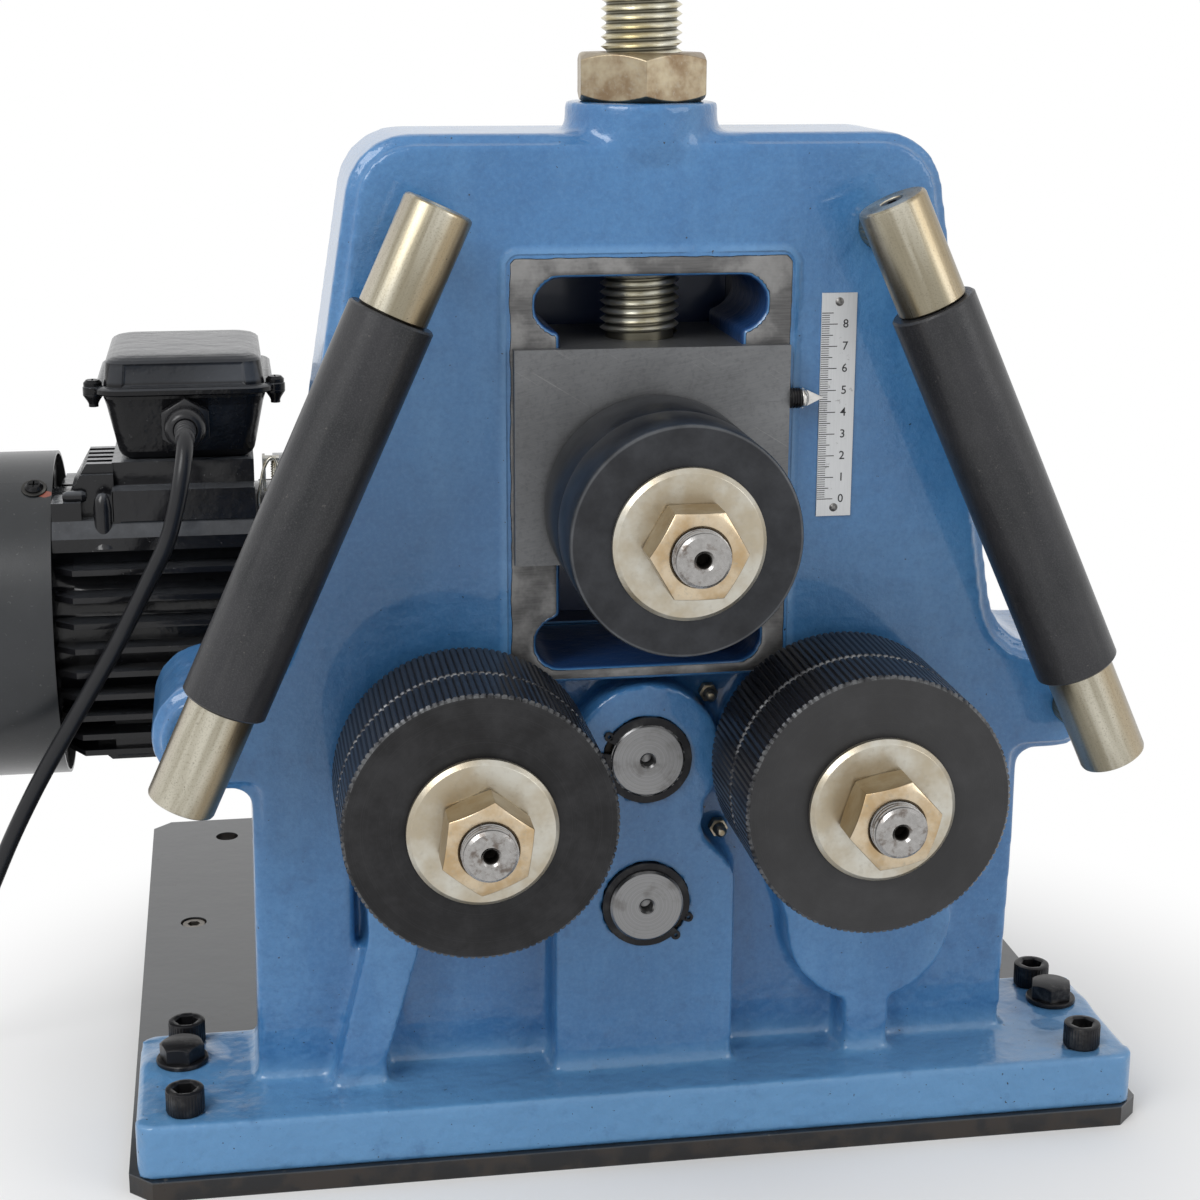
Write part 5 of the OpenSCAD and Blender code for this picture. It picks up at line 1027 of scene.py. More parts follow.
seat = Matrix.Translation((0, SCREW_Y, NUT_FROM)) @ Matrix.Rotation(math.radians(NUT_TURN), 4, "Z")
lock = hexagon(seat, 55 * MM, 21 * MM, SCREW_R + 0.05 * MM)
make("lock_nut_plated", lock, lock_zinc, "lock_nut", "lock_nut", bevel=0.45 * MM)
handle_steel = Finish("handle_chrome", Metallic=1.0)
rub = handle_steel.noise(60, 3, 0.6, handle_steel.stretched((0.2, 1, 1)))
handle_steel.set(
    Base_Color=handle_steel.blend(rub, (0.50, 0.50, 0.49), (0.66, 0.66, 0.65)), Roughness=0.18 + 0.2 * rub
)
handle_steel.relief((rub, 0.00003))
bar = lathe([
    (0, -BAR_HALF), (BAR_R - BAR_CHAMFER, -BAR_HALF), (BAR_R, BAR_CHAMFER - BAR_HALF), (BAR_R, BAR_HALF - BAR_CHAMFER),
    (BAR_R - BAR_CHAMFER, BAR_HALF), (0, BAR_HALF),
], along_x(0, SCREW_Y, BAR_Z), 48)
make("handle_bar_turned", bar, handle_steel, "adjusting_screw", "handle_bar")
knob_black = Finish("knob_black", Base_Color=(0.015, 0.015, 0.016), Roughness=0.22, Coat_Weight=0.6)
knob_black.fine_relief(500, 2, 0.00003)
ball = [(0, -KNOB_R)] + [
    (KNOB_R * math.cos(math.radians(a)), KNOB_R * math.sin(math.radians(a))) for a in range(-80, 81, 10)
] + [(0, KNOB_R)]
neck = in_mm((9.1, 0), (11.2, 0), (11.2, 4), (9.1, 5))
knobs = None
for side in (-1, 1):
    knobs = lathe(ball, along_x(side * KNOB_X, SCREW_Y, BAR_Z), 48, knobs)
    inward = Matrix.Rotation(side * math.pi / 2, 4, "Y")
    knobs = lathe(neck, Matrix.Translation((side * NECK_X, SCREW_Y, BAR_Z)) @ inward, 48, knobs)
make("handle_knobs_moulded", knobs, knob_black, "adjusting_screw", "handle_knobs", sharp=50)


# Lower rolls: two hardened rings each, blackened, with a straight knurl that grips the work. The knurl's edges
# are worn bright, and a painted highlight makes them brighter still. A shaft, a thick washer and a nut hold them,
# and a gear drives each shaft behind the wall.
ROLL_BACK = -13 * MM
RING_SPLIT = -53 * MM
ROLL_FACE = -85.8 * MM
WASHER_FACE = -91.8 * MM
NUT_FACE = -111.8 * MM
SHAFT_TIP = -118.8 * MM
LOW_ROLL_R = 59.5 * MM
TOP_ROLL_Z = 317.6 * MM
BORE_R = 17.5 * MM
RIBS = 124
RIB_STEPS = 4
RIB_DEPTH = 0.8 * MM
SHAFT_END_R = 12 * MM


def from_axis(finish, centre_x, centre_z):
    """How far a point lies from an axis along Y. The axis and its mirror image count alike."""
    x, y, z = finish.axes()
    across = abs(x) - centre_x
    rise = z - centre_z
    return (across * across + rise * rise).power(0.5), y


knurled = Finish("knurled_black", Metallic=0.45, Specular_Ior_Level=0.35)
radius, depth = from_axis(knurled, ROLL_X, LOW_ROLL_Z)
smut = knurled.noise(55, 5, 0.65)
specks = knurled.noise(900, 2)
rings = knurled.noise(1, 2, 0.5, knurled.node("ShaderNodeCombineXYZ", None, {0: radius * 1800.0}))
bright_edge = (radius - LOW_ROLL_R + 0.9 * MM).ramp(0, 0.0004)
# Worn edges and painted highlight: bright grey on the knurl's edges at the front and at the split.
edge_wear_and_highlight = 0.35 * (depth - ROLL_FACE - 1.9 * MM).ramp(0.0003, -0.0003)
edge_wear_and_highlight = edge_wear_and_highlight.larger((abs(depth - RING_SPLIT) - 1.3 * MM).ramp(0.0005, -0.0005))
rub = edge_wear_and_highlight * (radius - LOW_ROLL_R + 1.6 * MM).ramp(0, 0.0003) * knurled.noise(150, 3, 0.7).ramp(0.36, 0.60)
face_dark = knurled.layers(
    knurled.blend(smut.ramp(0.35, 0.75), (0.013, 0.013, 0.014), (0.028, 0.028, 0.030)),
    (0.35 * rings.ramp(0.5, 0.8), (0.055, 0.055, 0.057)),
    # Painted light: the right roll's face is made paler than the left one's.
    (0.40 * knurled.axes()[0].ramp(0, 0.05), (0.070, 0.070, 0.072)),
)
rib_tone = knurled.blend(smut, (0.014, 0.014, 0.017), (0.040, 0.042, 0.050))
tone = knurled.blend(bright_edge, face_dark, rib_tone)
knurled.set(
    Base_Color=knurled.blend(0.65 * rub, tone, (0.36, 0.37, 0.38)),
    Roughness=knurled.maths("MULTIPLY_ADD", bright_edge, -0.16, 0.52) - 0.10 * smut,
)
knurled.relief((specks, 0.00003), (rings, 0.00002))


def knurled_ring(centre_x, centre_z, front, back, bm):
    """One ring whose outside is cut with straight grooves along its axis."""
    chamfer = 1.5 * MM
    new = lathe([
        (BORE_R, 0), (LOW_ROLL_R - chamfer, 0), (LOW_ROLL_R, chamfer), (LOW_ROLL_R, back - front - chamfer),
        (LOW_ROLL_R - chamfer, back - front), (BORE_R, back - front), (BORE_R, 0),
    ], None, RIBS * RIB_STEPS)
    for vert in new.verts:
        step = round(math.atan2(vert.co.y, vert.co.x) / math.tau * RIBS * RIB_STEPS)
        if near(math.hypot(vert.co.x, vert.co.y), LOW_ROLL_R) and step % RIB_STEPS == 0:
            vert.co.xy *= 1 - RIB_DEPTH / LOW_ROLL_R
    bmesh.ops.transform(new, matrix=along_y(centre_x, front, centre_z), verts=new.verts)
    return join(bm, new)


washer_zinc = zinc("washer_zinc", (0.57, 0.555, 0.495), (0.44, 0.385, 0.290), 0.24, 42, 0.4)
shaft_steel = Finish("shaft_end_steel", Metallic=1.0)
stain = shaft_steel.noise(170, 4, 0.7).ramp(0.48, 0.68)
wear = shaft_steel.noise(500, 3)
radius, depth = from_axis(shaft_steel, ROLL_X, LOW_ROLL_Z)
radius = shaft_steel.maths("MINIMUM", radius, from_axis(shaft_steel, 0, TOP_ROLL_Z)[0])
# Painted shade: the centre hole and the grooves of the threaded tip are darkened nearly to black.
tip_groove_shade = (11.7 * MM - radius).ramp(0, 0.0008) * (depth - SHAFT_TIP - 1.5 * MM).ramp(0, 0.0003)
centre_hole_shade = (3.7 * MM - radius).ramp(0, 0.0006)
shaft_tone = shaft_steel.layers(
    shaft_steel.blend(wear, (0.26, 0.25, 0.24), (0.46, 0.45, 0.44)),
    (0.75 * stain, (0.110, 0.080, 0.060)), (centre_hole_shade.larger(0.8 * tip_groove_shade), (0.02, 0.018, 0.016)),
)
shaft_steel.set(Base_Color=shaft_tone, Roughness=0.26 + 0.25 * stain + 0.45 * centre_hole_shade)
shaft_steel.fine_relief(700, 3, 0.00006)
gear_steel = clouded("gear_steel", 80, 3, (0.22, 0.21, 0.20), (0.38, 0.37, 0.36), 0.34, 0.12, Metallic=1.0)


def shaft_nose(back, rear_r):
    """A roll's shaft: its threaded tip with a centre hole, the part in the bore, the collar and the rear end."""
    nose = [(r * MM, SHAFT_TIP + rise * MM) for r, rise in (
        (0, 8), (2.9, 7), (2.9, 1.5), (4.4, 0), (10.1, 0), (11.3, 1.2),
    )]
    for i in range(3):
        nose += [(r * MM, SHAFT_TIP + (1.6 + 2.3 * i + rise) * MM) for r, rise in (
            (10.5, 0), (10.5, 0.6), (11.9, 1.1), (11.9, 1.5),
        )]
    in_bore = BORE_R - 0.02 * MM
    nose += [(10.5 * MM, NUT_FACE + 1.5 * MM), (11.9 * MM, NUT_FACE + 2.2 * MM), (11.9 * MM, ROLL_FACE),
             (in_bore, ROLL_FACE), (in_bore, ROLL_BACK), (30 * MM, ROLL_BACK), (30 * MM, back), (rear_r, back)]
    return nose


def hold_rings(name, centre_x, centre_z, nut_turn):
    """The thick washer and the nut that hold a roll's rings on its shaft."""
    disc = washer(along_y(centre_x, WASHER_FACE, centre_z), 32.5 * MM, SHAFT_END_R, ROLL_FACE - WASHER_FACE, 1.9 * MM)
    make(name + "_washer_plated", disc, washer_zinc, name, name + "_washer", bevel=0.2 * MM)
    seat = Matrix.Translation((centre_x, WASHER_FACE, centre_z)) @ Matrix.Rotation(math.pi / 2, 4, "X")
    seat = seat @ Matrix.Rotation(math.radians(nut_turn), 4, "Z")
    nut = hexagon(seat, 36 * MM, WASHER_FACE - NUT_FACE, SHAFT_END_R)
    make(name + "_nut_plated", nut, nut_zinc, name, name + "_nut", bevel=0.4 * MM)


low_rear = in_mm((22.5, 28.3), (20, 28.3), (20, 64), (17.5, 64), (17.5, 94.5), (16, 96), (0, 96))
for side, name, nut_turn in ((-1, "left_roll", 22), (1, "right_roll", 12)):
    centre_x = side * ROLL_X
    both_rings = knurled_ring(centre_x, LOW_ROLL_Z, ROLL_FACE, RING_SPLIT, None)
    both_rings = knurled_ring(centre_x, LOW_ROLL_Z, RING_SPLIT, ROLL_BACK, both_rings)
    make(name + "_knurled_rings", both_rings, knurled, name, name + "_rings", sharp=22)
    hold_rings(name, centre_x, LOW_ROLL_Z, nut_turn)
    shaft = lathe(shaft_nose(-0.3 * MM, 22.5 * MM) + low_rear, along_y(centre_x, 0, LOW_ROLL_Z), 72)
    make(name + "_shaft_turned", shaft, shaft_steel, name, name + "_shaft", sharp=25)
    from_cad(name + "_gear_hobbed", name + "_gear", gear_steel, name, 0.25 * MM, 25)


# Top roll: two smooth rings, turned and blackened, on a shaft that runs in the sliding block's bushes. The same
# thick washer and nut hold them as on the lower rolls, and no gear drives them.
TOP_ROLL_R = 49.75 * MM

smooth_black = Finish("smooth_roll_black", Metallic=0.5)
radius, depth = from_axis(smooth_black, 0, TOP_ROLL_Z)
smut = smooth_black.noise(60, 5, 0.65)
along = smooth_black.node("ShaderNodeCombineXYZ", None, {0: radius * 1500.0, 1: depth * 900.0})
rings = smooth_black.noise(1, 2, 0.5, along)
tone = smooth_black.blend(smut.ramp(0.3, 0.75), (0.014, 0.015, 0.018), (0.032, 0.034, 0.039))
# Painted highlight: the front rim of the rings is paler grey in places.
edge = (radius - TOP_ROLL_R + 1.7 * MM).ramp(0, 0.0006) * (abs(depth - ROLL_FACE) - 0.9 * MM).ramp(0.0007, -0.0004)
smooth_black.set(
    Base_Color=smooth_black.blend(0.28 * edge * smut, tone, (0.34, 0.36, 0.38)), Roughness=0.40 - 0.12 * smut
)
smooth_black.relief((rings, 0.00003), (smooth_black.noise(800, 2), 0.00002))
rings_pair = None
for front, back in ((ROLL_FACE, RING_SPLIT), (RING_SPLIT, ROLL_BACK)):
    span = back - front
    rings_pair = lathe([
        (BORE_R, 0), (TOP_ROLL_R - 1.5 * MM, 0), (TOP_ROLL_R - 0.6 * MM, 0.35 * MM), (TOP_ROLL_R, 1.5 * MM),
        (TOP_ROLL_R, span - 1.0 * MM), (TOP_ROLL_R - 1.0 * MM, span), (BORE_R, span), (BORE_R, 0),
    ], along_y(0, front, TOP_ROLL_Z), 160, rings_pair)
make("top_roll_smooth_rings", rings_pair, smooth_black, "top_roll", "top_roll_rings", sharp=40)
hold_rings("top_roll", 0, TOP_ROLL_Z, 0)
top_rear = in_mm((17.5, 80.35), (20.5, 80.35), (20.5, 85.75), (0, 85.75))
shaft = lathe(shaft_nose(-7.35 * MM, 17.5 * MM) + top_rear, along_y(0, 0, TOP_ROLL_Z), 72)
make("top_roll_shaft_turned", shaft, shaft_steel, "top_roll", "top_roll_shaft", sharp=25)


# Idler and drive shafts: ground steel shafts in the bronze bushes, which carry the gears between motor and rolls.
# Their ends are faced on a lathe, with a centre hole, and a sprung clip in a groove keeps each from moving back.
IDLER_TIP = -2.6 * MM
IDLER_BACK = 96 * MM
DRIVE_TIP = -4.0 * MM
DRIVE_BACK = 296 * MM
CLIP_IN = 16.6 * MM
CLIP_OUT = 20.9 * MM
CLIP_FRONT = -1.95 * MM
CLIP_T = 1.8 * MM
LUG_R = 2.3 * MM
LUG_OFF = 21.9 * MM


def turned_steel(name, centre_z):
    """Steel with the fine rings of a lathe's cut across its end."""
    steel = Finish(name, Metallic=1.0)
    radius, depth = from_axis(steel, 0, centre_z)
    rings = steel.noise(1, 3, 0.6, steel.node("ShaderNodeCombineXYZ", None, {0: radius * 2400.0}))
    blot = steel.noise(95, 4, 0.6).ramp(0.50, 0.74)
    tone = steel.blend(rings.ramp(0.3, 0.7), (0.200, 0.200, 0.202), (0.310, 0.310, 0.312))
    steel.set(
        Base_Color=steel.blend(0.5 * blot, tone, (0.12, 0.11, 0.10)), Roughness=0.30 + 0.14 * rings + 0.12 * blot
    )
    steel.relief((rings, 0.00003))
    return steel


def sprung_clip(place):
    """A ring with a gap, and an eye on either side of the gap for the pliers."""
    new = bmesh.new()
    corners = ((CLIP_IN, 0), (CLIP_OUT, 0), (CLIP_OUT, CLIP_T), (CLIP_IN, CLIP_T))
    section = new.faces.new([new.verts.new((r, 0, h)) for r, h in corners])
    gap = math.radians(8)
    bmesh.ops.rotate(new, verts=new.verts, cent=(0, 0, 0), matrix=Matrix.Rotation(gap, 3, "Z"))
    bmesh.ops.spin(new, geom=[section] + section.edges[:] + section.verts[:], cent=(0, 0, 0), axis=(0, 0, 1),
                   angle=math.tau - 2 * gap, steps=60)
    bmesh.ops.remove_doubles(new, verts=new.verts, dist=1e-6)
    bmesh.ops.recalc_face_normals(new, faces=new.faces)
    for turn in (-14, 14):
        at = (LUG_OFF * math.cos(math.radians(turn)), LUG_OFF * math.sin(math.radians(turn)), 0)
        washer(Matrix.Translation(at), LUG_R, 0.9 * MM, CLIP_T, 0.2 * MM, new, 28)
    bmesh.ops.transform(new, matrix=place, verts=new.verts)
    return new


clip_black = oiled_black("spring_clip_black", edge=(0.05, 0.05, 0.05), rough=0.4)
for name, centre_z, tip, back, turn in (
    ("idler", IDLER_Z, IDLER_TIP, IDLER_BACK, 160), ("drive", DRIVE_Z, DRIVE_TIP, DRIVE_BACK, -35),
):
    steel = turned_steel(name + "_turned_steel", centre_z)
    clip_back = CLIP_FRONT + CLIP_T
    shaft = lathe([
        (0, tip + 9 * MM), (3 * MM, tip + 7.5 * MM), (3 * MM, tip + 0.9 * MM), (3.9 * MM, tip),
        (BORE_R - 1.0 * MM, tip), (BORE_R, tip + 1.0 * MM), (BORE_R, CLIP_FRONT), (CLIP_IN, CLIP_FRONT),
        (CLIP_IN, clip_back), (BORE_R, clip_back), (BORE_R, back - 1 * MM), (BORE_R - 1 * MM, back), (0, back),
    ], along_y(0, 0, centre_z), 96)
    make(name + "_shaft_faced", shaft, steel, name, name + "_shaft", sharp=40)
    clip = sprung_clip(along_y(0, CLIP_FRONT, centre_z) @ Matrix.Rotation(math.radians(-turn), 4, "Z"))
    make(name + "_spring_clip", clip, clip_black, name, (), bevel=0.15 * MM)
    from_cad(name + "_gear_hobbed", name + "_gear", gear_steel, name, 0.25 * MM, 25)
from_cad("worm_wheel_bronze", "worm_wheel", cast_bronze("worm_wheel_bronze"), "drive", 0.8 * MM)


# Grease nipples: small steel nipples, turned and plated, screwed into the recess. Each feeds grease to the bushes
# of one gear shaft.
nipple_brass = zinc("nipple_zinc", (0.42, 0.38, 0.30), (0.28, 0.23, 0.15), 0.25, 300)
from_cad("grease_nipples_plated", "grease_nipples", nipple_brass, "frame", 0.2 * MM, 35)


# Guide bars: two bright ends turned from bar and plated, on studs in the casting, with an axle between them. A
# grub screw in each end face locks it to its stud. A smooth black sleeve turns freely on each axle.
GUIDE_TILT = math.radians(24.5)
GUIDE_TOP = Vector((96.5, -37, 452.5)) * MM
GUIDE_LENGTH = 281.3 * MM
GUIDE_END_R = 15.3 * MM
GUIDE_END_LENGTH = 49 * MM
GRUB_R = 5 * MM
SLEEVE_R = 19 * MM
AXLE_R = 10 * MM
SLEEVE_BORE = AXLE_R + 0.1 * MM
SLEEVE_FROM = 49.3 * MM
SLEEVE_TO = 232.0 * MM


def on_guide(side):
    """Lays Z down the guide bar on that side, from its top end."""
    at = Matrix.Translation((side * GUIDE_TOP.x, GUIDE_TOP.y, GUIDE_TOP.z))
    return at @ Matrix.Rotation(math.pi - side * GUIDE_TILT, 4, "Y")


def down_guide(finish, stretch):
    """Coordinates stretched down the guide bars. Both bars are alike in them."""
    x, y, z = finish.axes()
    alike = finish.node("ShaderNodeCombineXYZ", None, {0: abs(x), 1: y, 2: z})
    return finish.stretched((1, 1, stretch), (0, GUIDE_TILT, 0), place=alike)


guide_zinc = Finish("guide_end_zinc", Metallic=0.95)
x, y, z = guide_zinc.axes()
side = guide_zinc.maths("SIGN", x)
across = math.cos(GUIDE_TILT) * (x - side * GUIDE_TOP.x) + math.sin(GUIDE_TILT) * side * (z - GUIDE_TOP.z)
bands = guide_zinc.noise(85, 3, 0.5, down_guide(guide_zinc, 0.08))
brushing = guide_zinc.noise(700, 2, 0.5, down_guide(guide_zinc, 0.02))
pits = guide_zinc.noise(900, 2, 0.6).ramp(0.70, 0.75)
tone = guide_zinc.layers(
    guide_zinc.blend(bands.ramp(0.38, 0.60), (0.23, 0.20, 0.135), (0.56, 0.53, 0.44)),
    # Painted light and shade across each bar: gold-brown towards its right, a dark right edge and a pale left edge.
    (0.7 * (across - 0.001).ramp(0, 0.007), (0.33, 0.24, 0.125)),
    (0.6 * (across - 0.010).ramp(0, 0.005), (0.085, 0.075, 0.055)),
    (0.4 * (0.0 - across - 0.011).ramp(0, 0.004), (0.36, 0.29, 0.23)),
    (0.3 * brushing, (0.58, 0.55, 0.46)),
    (0.35 * guide_zinc.noise(1400, 2).ramp(0.5, 0.7), (0.16, 0.14, 0.10)),
    (0.7 * pits, (0.09, 0.08, 0.06)),
)
guide_zinc.set(Base_Color=tone, Roughness=0.22 + 0.16 * brushing)
guide_zinc.relief((brushing, 0.00004))
ends = None
for side in (-1, 1):
    for far in (False, True):
        place = on_guide(side)
        if far:
            place = place @ Matrix.Translation((0, 0, GUIDE_LENGTH)) @ Matrix.Rotation(math.pi, 4, "X")
        ends = lathe([
            (0, 9 * MM), (GRUB_R, 9 * MM), (GRUB_R, 0.4 * MM), (GRUB_R + 0.4 * MM, 0), (GUIDE_END_R - 1.5 * MM, 0),
            (GUIDE_END_R - 0.4 * MM, 0.7 * MM), (GUIDE_END_R, 1.8 * MM), (GUIDE_END_R, GUIDE_END_LENGTH - 0.8 * MM),
            (GUIDE_END_R - 0.8 * MM, GUIDE_END_LENGTH), (0, GUIDE_END_LENGTH),
        ], place, 80, ends)
make("guide_ends_turned", ends, guide_zinc, "frame", "guide_bar_ends", sharp=32)
coat("guide_axles", shaft_steel)
studs = merged("guide_studs")
for vert in studs.verts:
    vert.co.y = max(vert.co.y, GUIDE_TOP.y - 7 * MM)
make("guide_studs_plated", studs, nut_zinc, "frame", "guide_studs", sharp=30)
from_cad("guide_grub_screws_black", "guide_grub_screws", black_oxide, "frame", 0.15 * MM)

sleeve_black = Finish("sleeve_satin_black", Specular_Ior_Level=0.36)
drawn = sleeve_black.noise(110, 4, 0.6, down_guide(sleeve_black, 0.10))
cloud = sleeve_black.noise(28, 4, 0.6)
nicks = sleeve_black.noise(420, 3, 0.7).ramp(0.66, 0.74)
tone = sleeve_black.layers(
    sleeve_black.blend(cloud.ramp(0.3, 0.7), (0.010, 0.011, 0.013), (0.022, 0.022, 0.025)),
    (0.6 * drawn.ramp(0.42, 0.66), (0.032, 0.032, 0.034)),
    (0.45 * sleeve_black.noise(1500, 3, 0.75).ramp(0.44, 0.68), (0.058, 0.058, 0.061)),
    (0.45 * nicks, (0.14, 0.13, 0.12)),
)
sleeve_black.set(Base_Color=tone, Roughness=0.25 + 0.14 * drawn)
sleeve_black.relief((sleeve_black.noise(1100, 2), 0.00006), (drawn, 0.00012), (cloud, 0.0005))
for side, body in ((-1, "left_sleeve"), (1, "right_sleeve")):
    sleeve = lathe([
        (SLEEVE_BORE, SLEEVE_FROM), (SLEEVE_R - 0.9 * MM, SLEEVE_FROM), (SLEEVE_R, SLEEVE_FROM + 0.9 * MM),
        (SLEEVE_R, SLEEVE_TO - 0.9 * MM), (SLEEVE_R - 0.9 * MM, SLEEVE_TO), (SLEEVE_BORE, SLEEVE_TO),
        (SLEEVE_BORE, SLEEVE_FROM),
    ], on_guide(side), 96)
    make(body + "_tube", sleeve, sleeve_black, body, body.replace("_", "_guide_"), sharp=32)


# Gearbox: a cast iron housing for the worm and its wheel, painted black and bolted to the base plate behind the
# frame. A round cover behind and a cap at the worm's end close it, and hexagon plugs fill and drain its oil.
MOTOR_Y = 240 * MM
MOTOR_Z = 211.6 * MM
GEARBOX_BACK = 286 * MM
GEARBOX_SIDE = 78 * MM
COVER_R = 72 * MM
COVER_SCREWS_R = 64 * MM
CAP_R = 35 * MM
CAP_SCREWS_R = 27 * MM
COVER_T = 4.5 * MM
PLUG_WASHER_T = 2.5 * MM

cast_black = painted("cast_black_paint", (0.013, 0.013, 0.015), (0.026, 0.026, 0.029), 0.34, 80, 0.0007)
from_cad("gearbox_cast", "gearbox_housing", cast_black, "frame", 1.2 * MM, segments=3)
covers = washer(along_y(0, GEARBOX_BACK - 0.5 * MM, DRIVE_Z), COVER_R, 35 * MM, COVER_T, 1 * MM)
covers = washer(along_x(GEARBOX_SIDE - 0.5 * MM, MOTOR_Y, MOTOR_Z), CAP_R, 1 * MM, COVER_T, 1 * MM, covers)
make("gearbox_covers", covers, cast_black, "frame", (), bevel=0.3 * MM)
heads = None
for i in range(8):
    turn = Vector((math.cos(math.radians(22.5 + 45 * i)), math.sin(math.radians(22.5 + 45 * i)))) * COVER_SCREWS_R
    heads = socket_head(along_y(turn.x, GEARBOX_BACK + 4 * MM, DRIVE_Z + turn.y), 6 * MM, heads)
for i in range(4):
    turn = Vector((math.cos(math.radians(45 + 90 * i)), math.sin(math.radians(45 + 90 * i)))) * CAP_SCREWS_R
    heads = socket_head(along_x(GEARBOX_SIDE + 4 * MM, MOTOR_Y + turn.x, MOTOR_Z + turn.y), 6 * MM, heads)
make("gearbox_cover_screws", heads, black_oxide, "frame", (), bevel=0.1 * MM)
plugs = None
for at in (
    Matrix.Translation((26 * MM, MOTOR_Y, 246.5 * MM)), along_x(86 * MM, MOTOR_Y + 20 * MM, 96 * MM),
    along_x(86 * MM, MOTOR_Y - 20 * MM, 34 * MM),
):
    plugs = washer(at, 11 * MM, 5 * MM, PLUG_WASHER_T, 0.4 * MM, plugs, 48)
    plugs = hexagon(at @ Matrix.Translation((0, 0, PLUG_WASHER_T)), 17 * MM, 7 * MM, NO_BORE, plugs, both=False)
make("gearbox_oil_plugs", plugs, washer_zinc, "frame", (), bevel=0.3 * MM)
heads = None
for centre, high in solids_of("gearbox_bolts"):
    heads = socket_head(Matrix.Translation((centre.x, centre.y, high.z - 10 * MM)), 10 * MM, heads)
make("gearbox_bolts_plated", heads, washer_zinc, "frame", "gearbox_bolts", bevel=0.15 * MM)


# Motor: a cast aluminium housing with cooling fins, two raised pads for the terminal box and a foot, painted black.
# Its flange is bolted to the gearbox. The fins fade out towards the cowl, and ribs stiffen the pads' end. A plated
# wire clip with its screw sits on the pads' other end.
FIN_LEFT = -268 * MM
COWL_EDGE = -278 * MM
BARREL_R = 68 * MM
FIN_R = 83 * MM
FIN_PITCH = 13 * MM
FIN_T = 3 * MM
PAD_MIDDLE = -208 * MM
WIRE_R = 0.85 * MM
WIRE_STEPS = 48
WIRE_SIDES = 10

def from_front(corners, y, depth, bm):
    """A flat shape of (x, z) corners in millimetres at this y, made solid backwards."""
    return cut_out([(x * MM, y, z * MM) for x, z in corners], (0, depth, 0), bm)


motor_paint = Finish("motor_paint", Coat_Roughness=0.12, Specular_Ior_Level=0.27, Coat_Weight=0.25)
cloud = motor_paint.noise(40, 4, 0.6)
lint = motor_paint.noise(500, 2, 0.6).ramp(0.70, 0.76)
# Dust on the upward faces, made lighter still as painted light from above, most on the ledge over the fins.
dust_and_top_light = motor_paint.facing()[2].ramp(0.25, 0.95) * (0.35 + motor_paint.noise(150, 3, 0.6))
dust_and_top_light = dust_and_top_light * (0.35 + 0.65 * (motor_paint.axes()[2] - 0.262).ramp(0, 0.008))
tone = motor_paint.blend(cloud.ramp(0.3, 0.7), (0.005, 0.005, 0.006), (0.010, 0.010, 0.012))
tone = motor_paint.layers(tone, (dust_and_top_light, (0.090, 0.096, 0.106)), (0.6 * lint, (0.12, 0.12, 0.12)))
motor_paint.set(Base_Color=tone, Roughness=0.16 + 0.14 * cloud)
motor_paint.relief((motor_paint.noise(130, 3), 0.0004), (motor_paint.noise(700, 2), 0.00005))
more = None
for side in (-1, 1):
    for k in range(-5, 6):
        root = math.sqrt(BARREL_R ** 2 - (k * FIN_PITCH) ** 2) - 1 * MM
        tip = math.sqrt(FIN_R ** 2 - (k * FIN_PITCH) ** 2)
        z = MOTOR_Z + k * FIN_PITCH - FIN_T / 2
        plan = ((FIN_LEFT - 0.05 * MM, tip), (COWL_EDGE + 0.4 * MM, (tip + root) / 2), (COWL_EDGE + 0.4 * MM, root),
                (FIN_LEFT - 0.05 * MM, root))
        more = cut_out([(x, MOTOR_Y + side * reach, z) for x, reach in plan], (0, 0, FIN_T), more)
more = from_front(((-246, 291), (-255.5, 275), (-246, 275)), 176 * MM, 128 * MM, more)
more = from_front(((-246, 297.5), (-262.5, 297.5), (-269, 286), (-269, 262), (-246, 262)), 187 * MM, 53 * MM, more)
for i in range(5):
    rib = ((-246, 302.8), (-259.5, 302.8), (-263.5, 296), (-246, 296))
    more = from_front(rib, (190 + 10.6 * i) * MM, 5.0 * MM, more)
for side in (-1, 1):
    more = cut_out([
        (-277.5 * MM, MOTOR_Y + side * y * MM, z * MM)
        for y, z in ((-62, 275.5), (-69, 267.5), (-68, 260.5), (-50, 260.5), (-50, 275.5))
    ], (103.5 * MM, 0, 0), more)
bar_between(more, (-277.5 * MM, 178 * MM, 270 * MM), (-262.5 * MM, 200 * MM, 285 * MM))
capsule = in_mm((0, 0), (2.2, 0.4), (3.2, 2.2), (3.2, 10), (2.2, 12), (0, 12.4))
more = lathe(capsule, along_x(-272 * MM, 184 * MM, 287 * MM), 24, more)
boss = in_mm((0, 0), (7.5, 0), (5.4, 4), (4.6, 9), (4.8, 20), (4, 25), (2.2, 27.5), (0, 28.2))
more = lathe(boss, Matrix.Translation((-251.5 * MM, 177.5 * MM, 262 * MM)), 28, more)
lug = ((-252, 288), (-244, 286), (-236, 289), (-243, 274), (-250, 268), (-252, 268))
more = from_front(lug, 176.6 * MM, 12 * MM, more)
foot = ((-262, 150), (-262, 144), (-255, 137.5), (-176, 137.5), (-176, 150))
more = from_front(foot, 204 * MM, 72 * MM, more)
from_cad("motor_housing_cast", "motor_housing", motor_paint, "frame", 0.7 * MM, 28, 2, more)
from_cad("motor_flange_bolts_black", "motor_flange_bolts", black_oxide, "frame", 0.25 * MM)
plate = bmesh.new()
bar_between(plate, (-169.5 * MM, 184 * MM, 287 * MM), (-168.1 * MM, 204 * MM, 303 * MM))
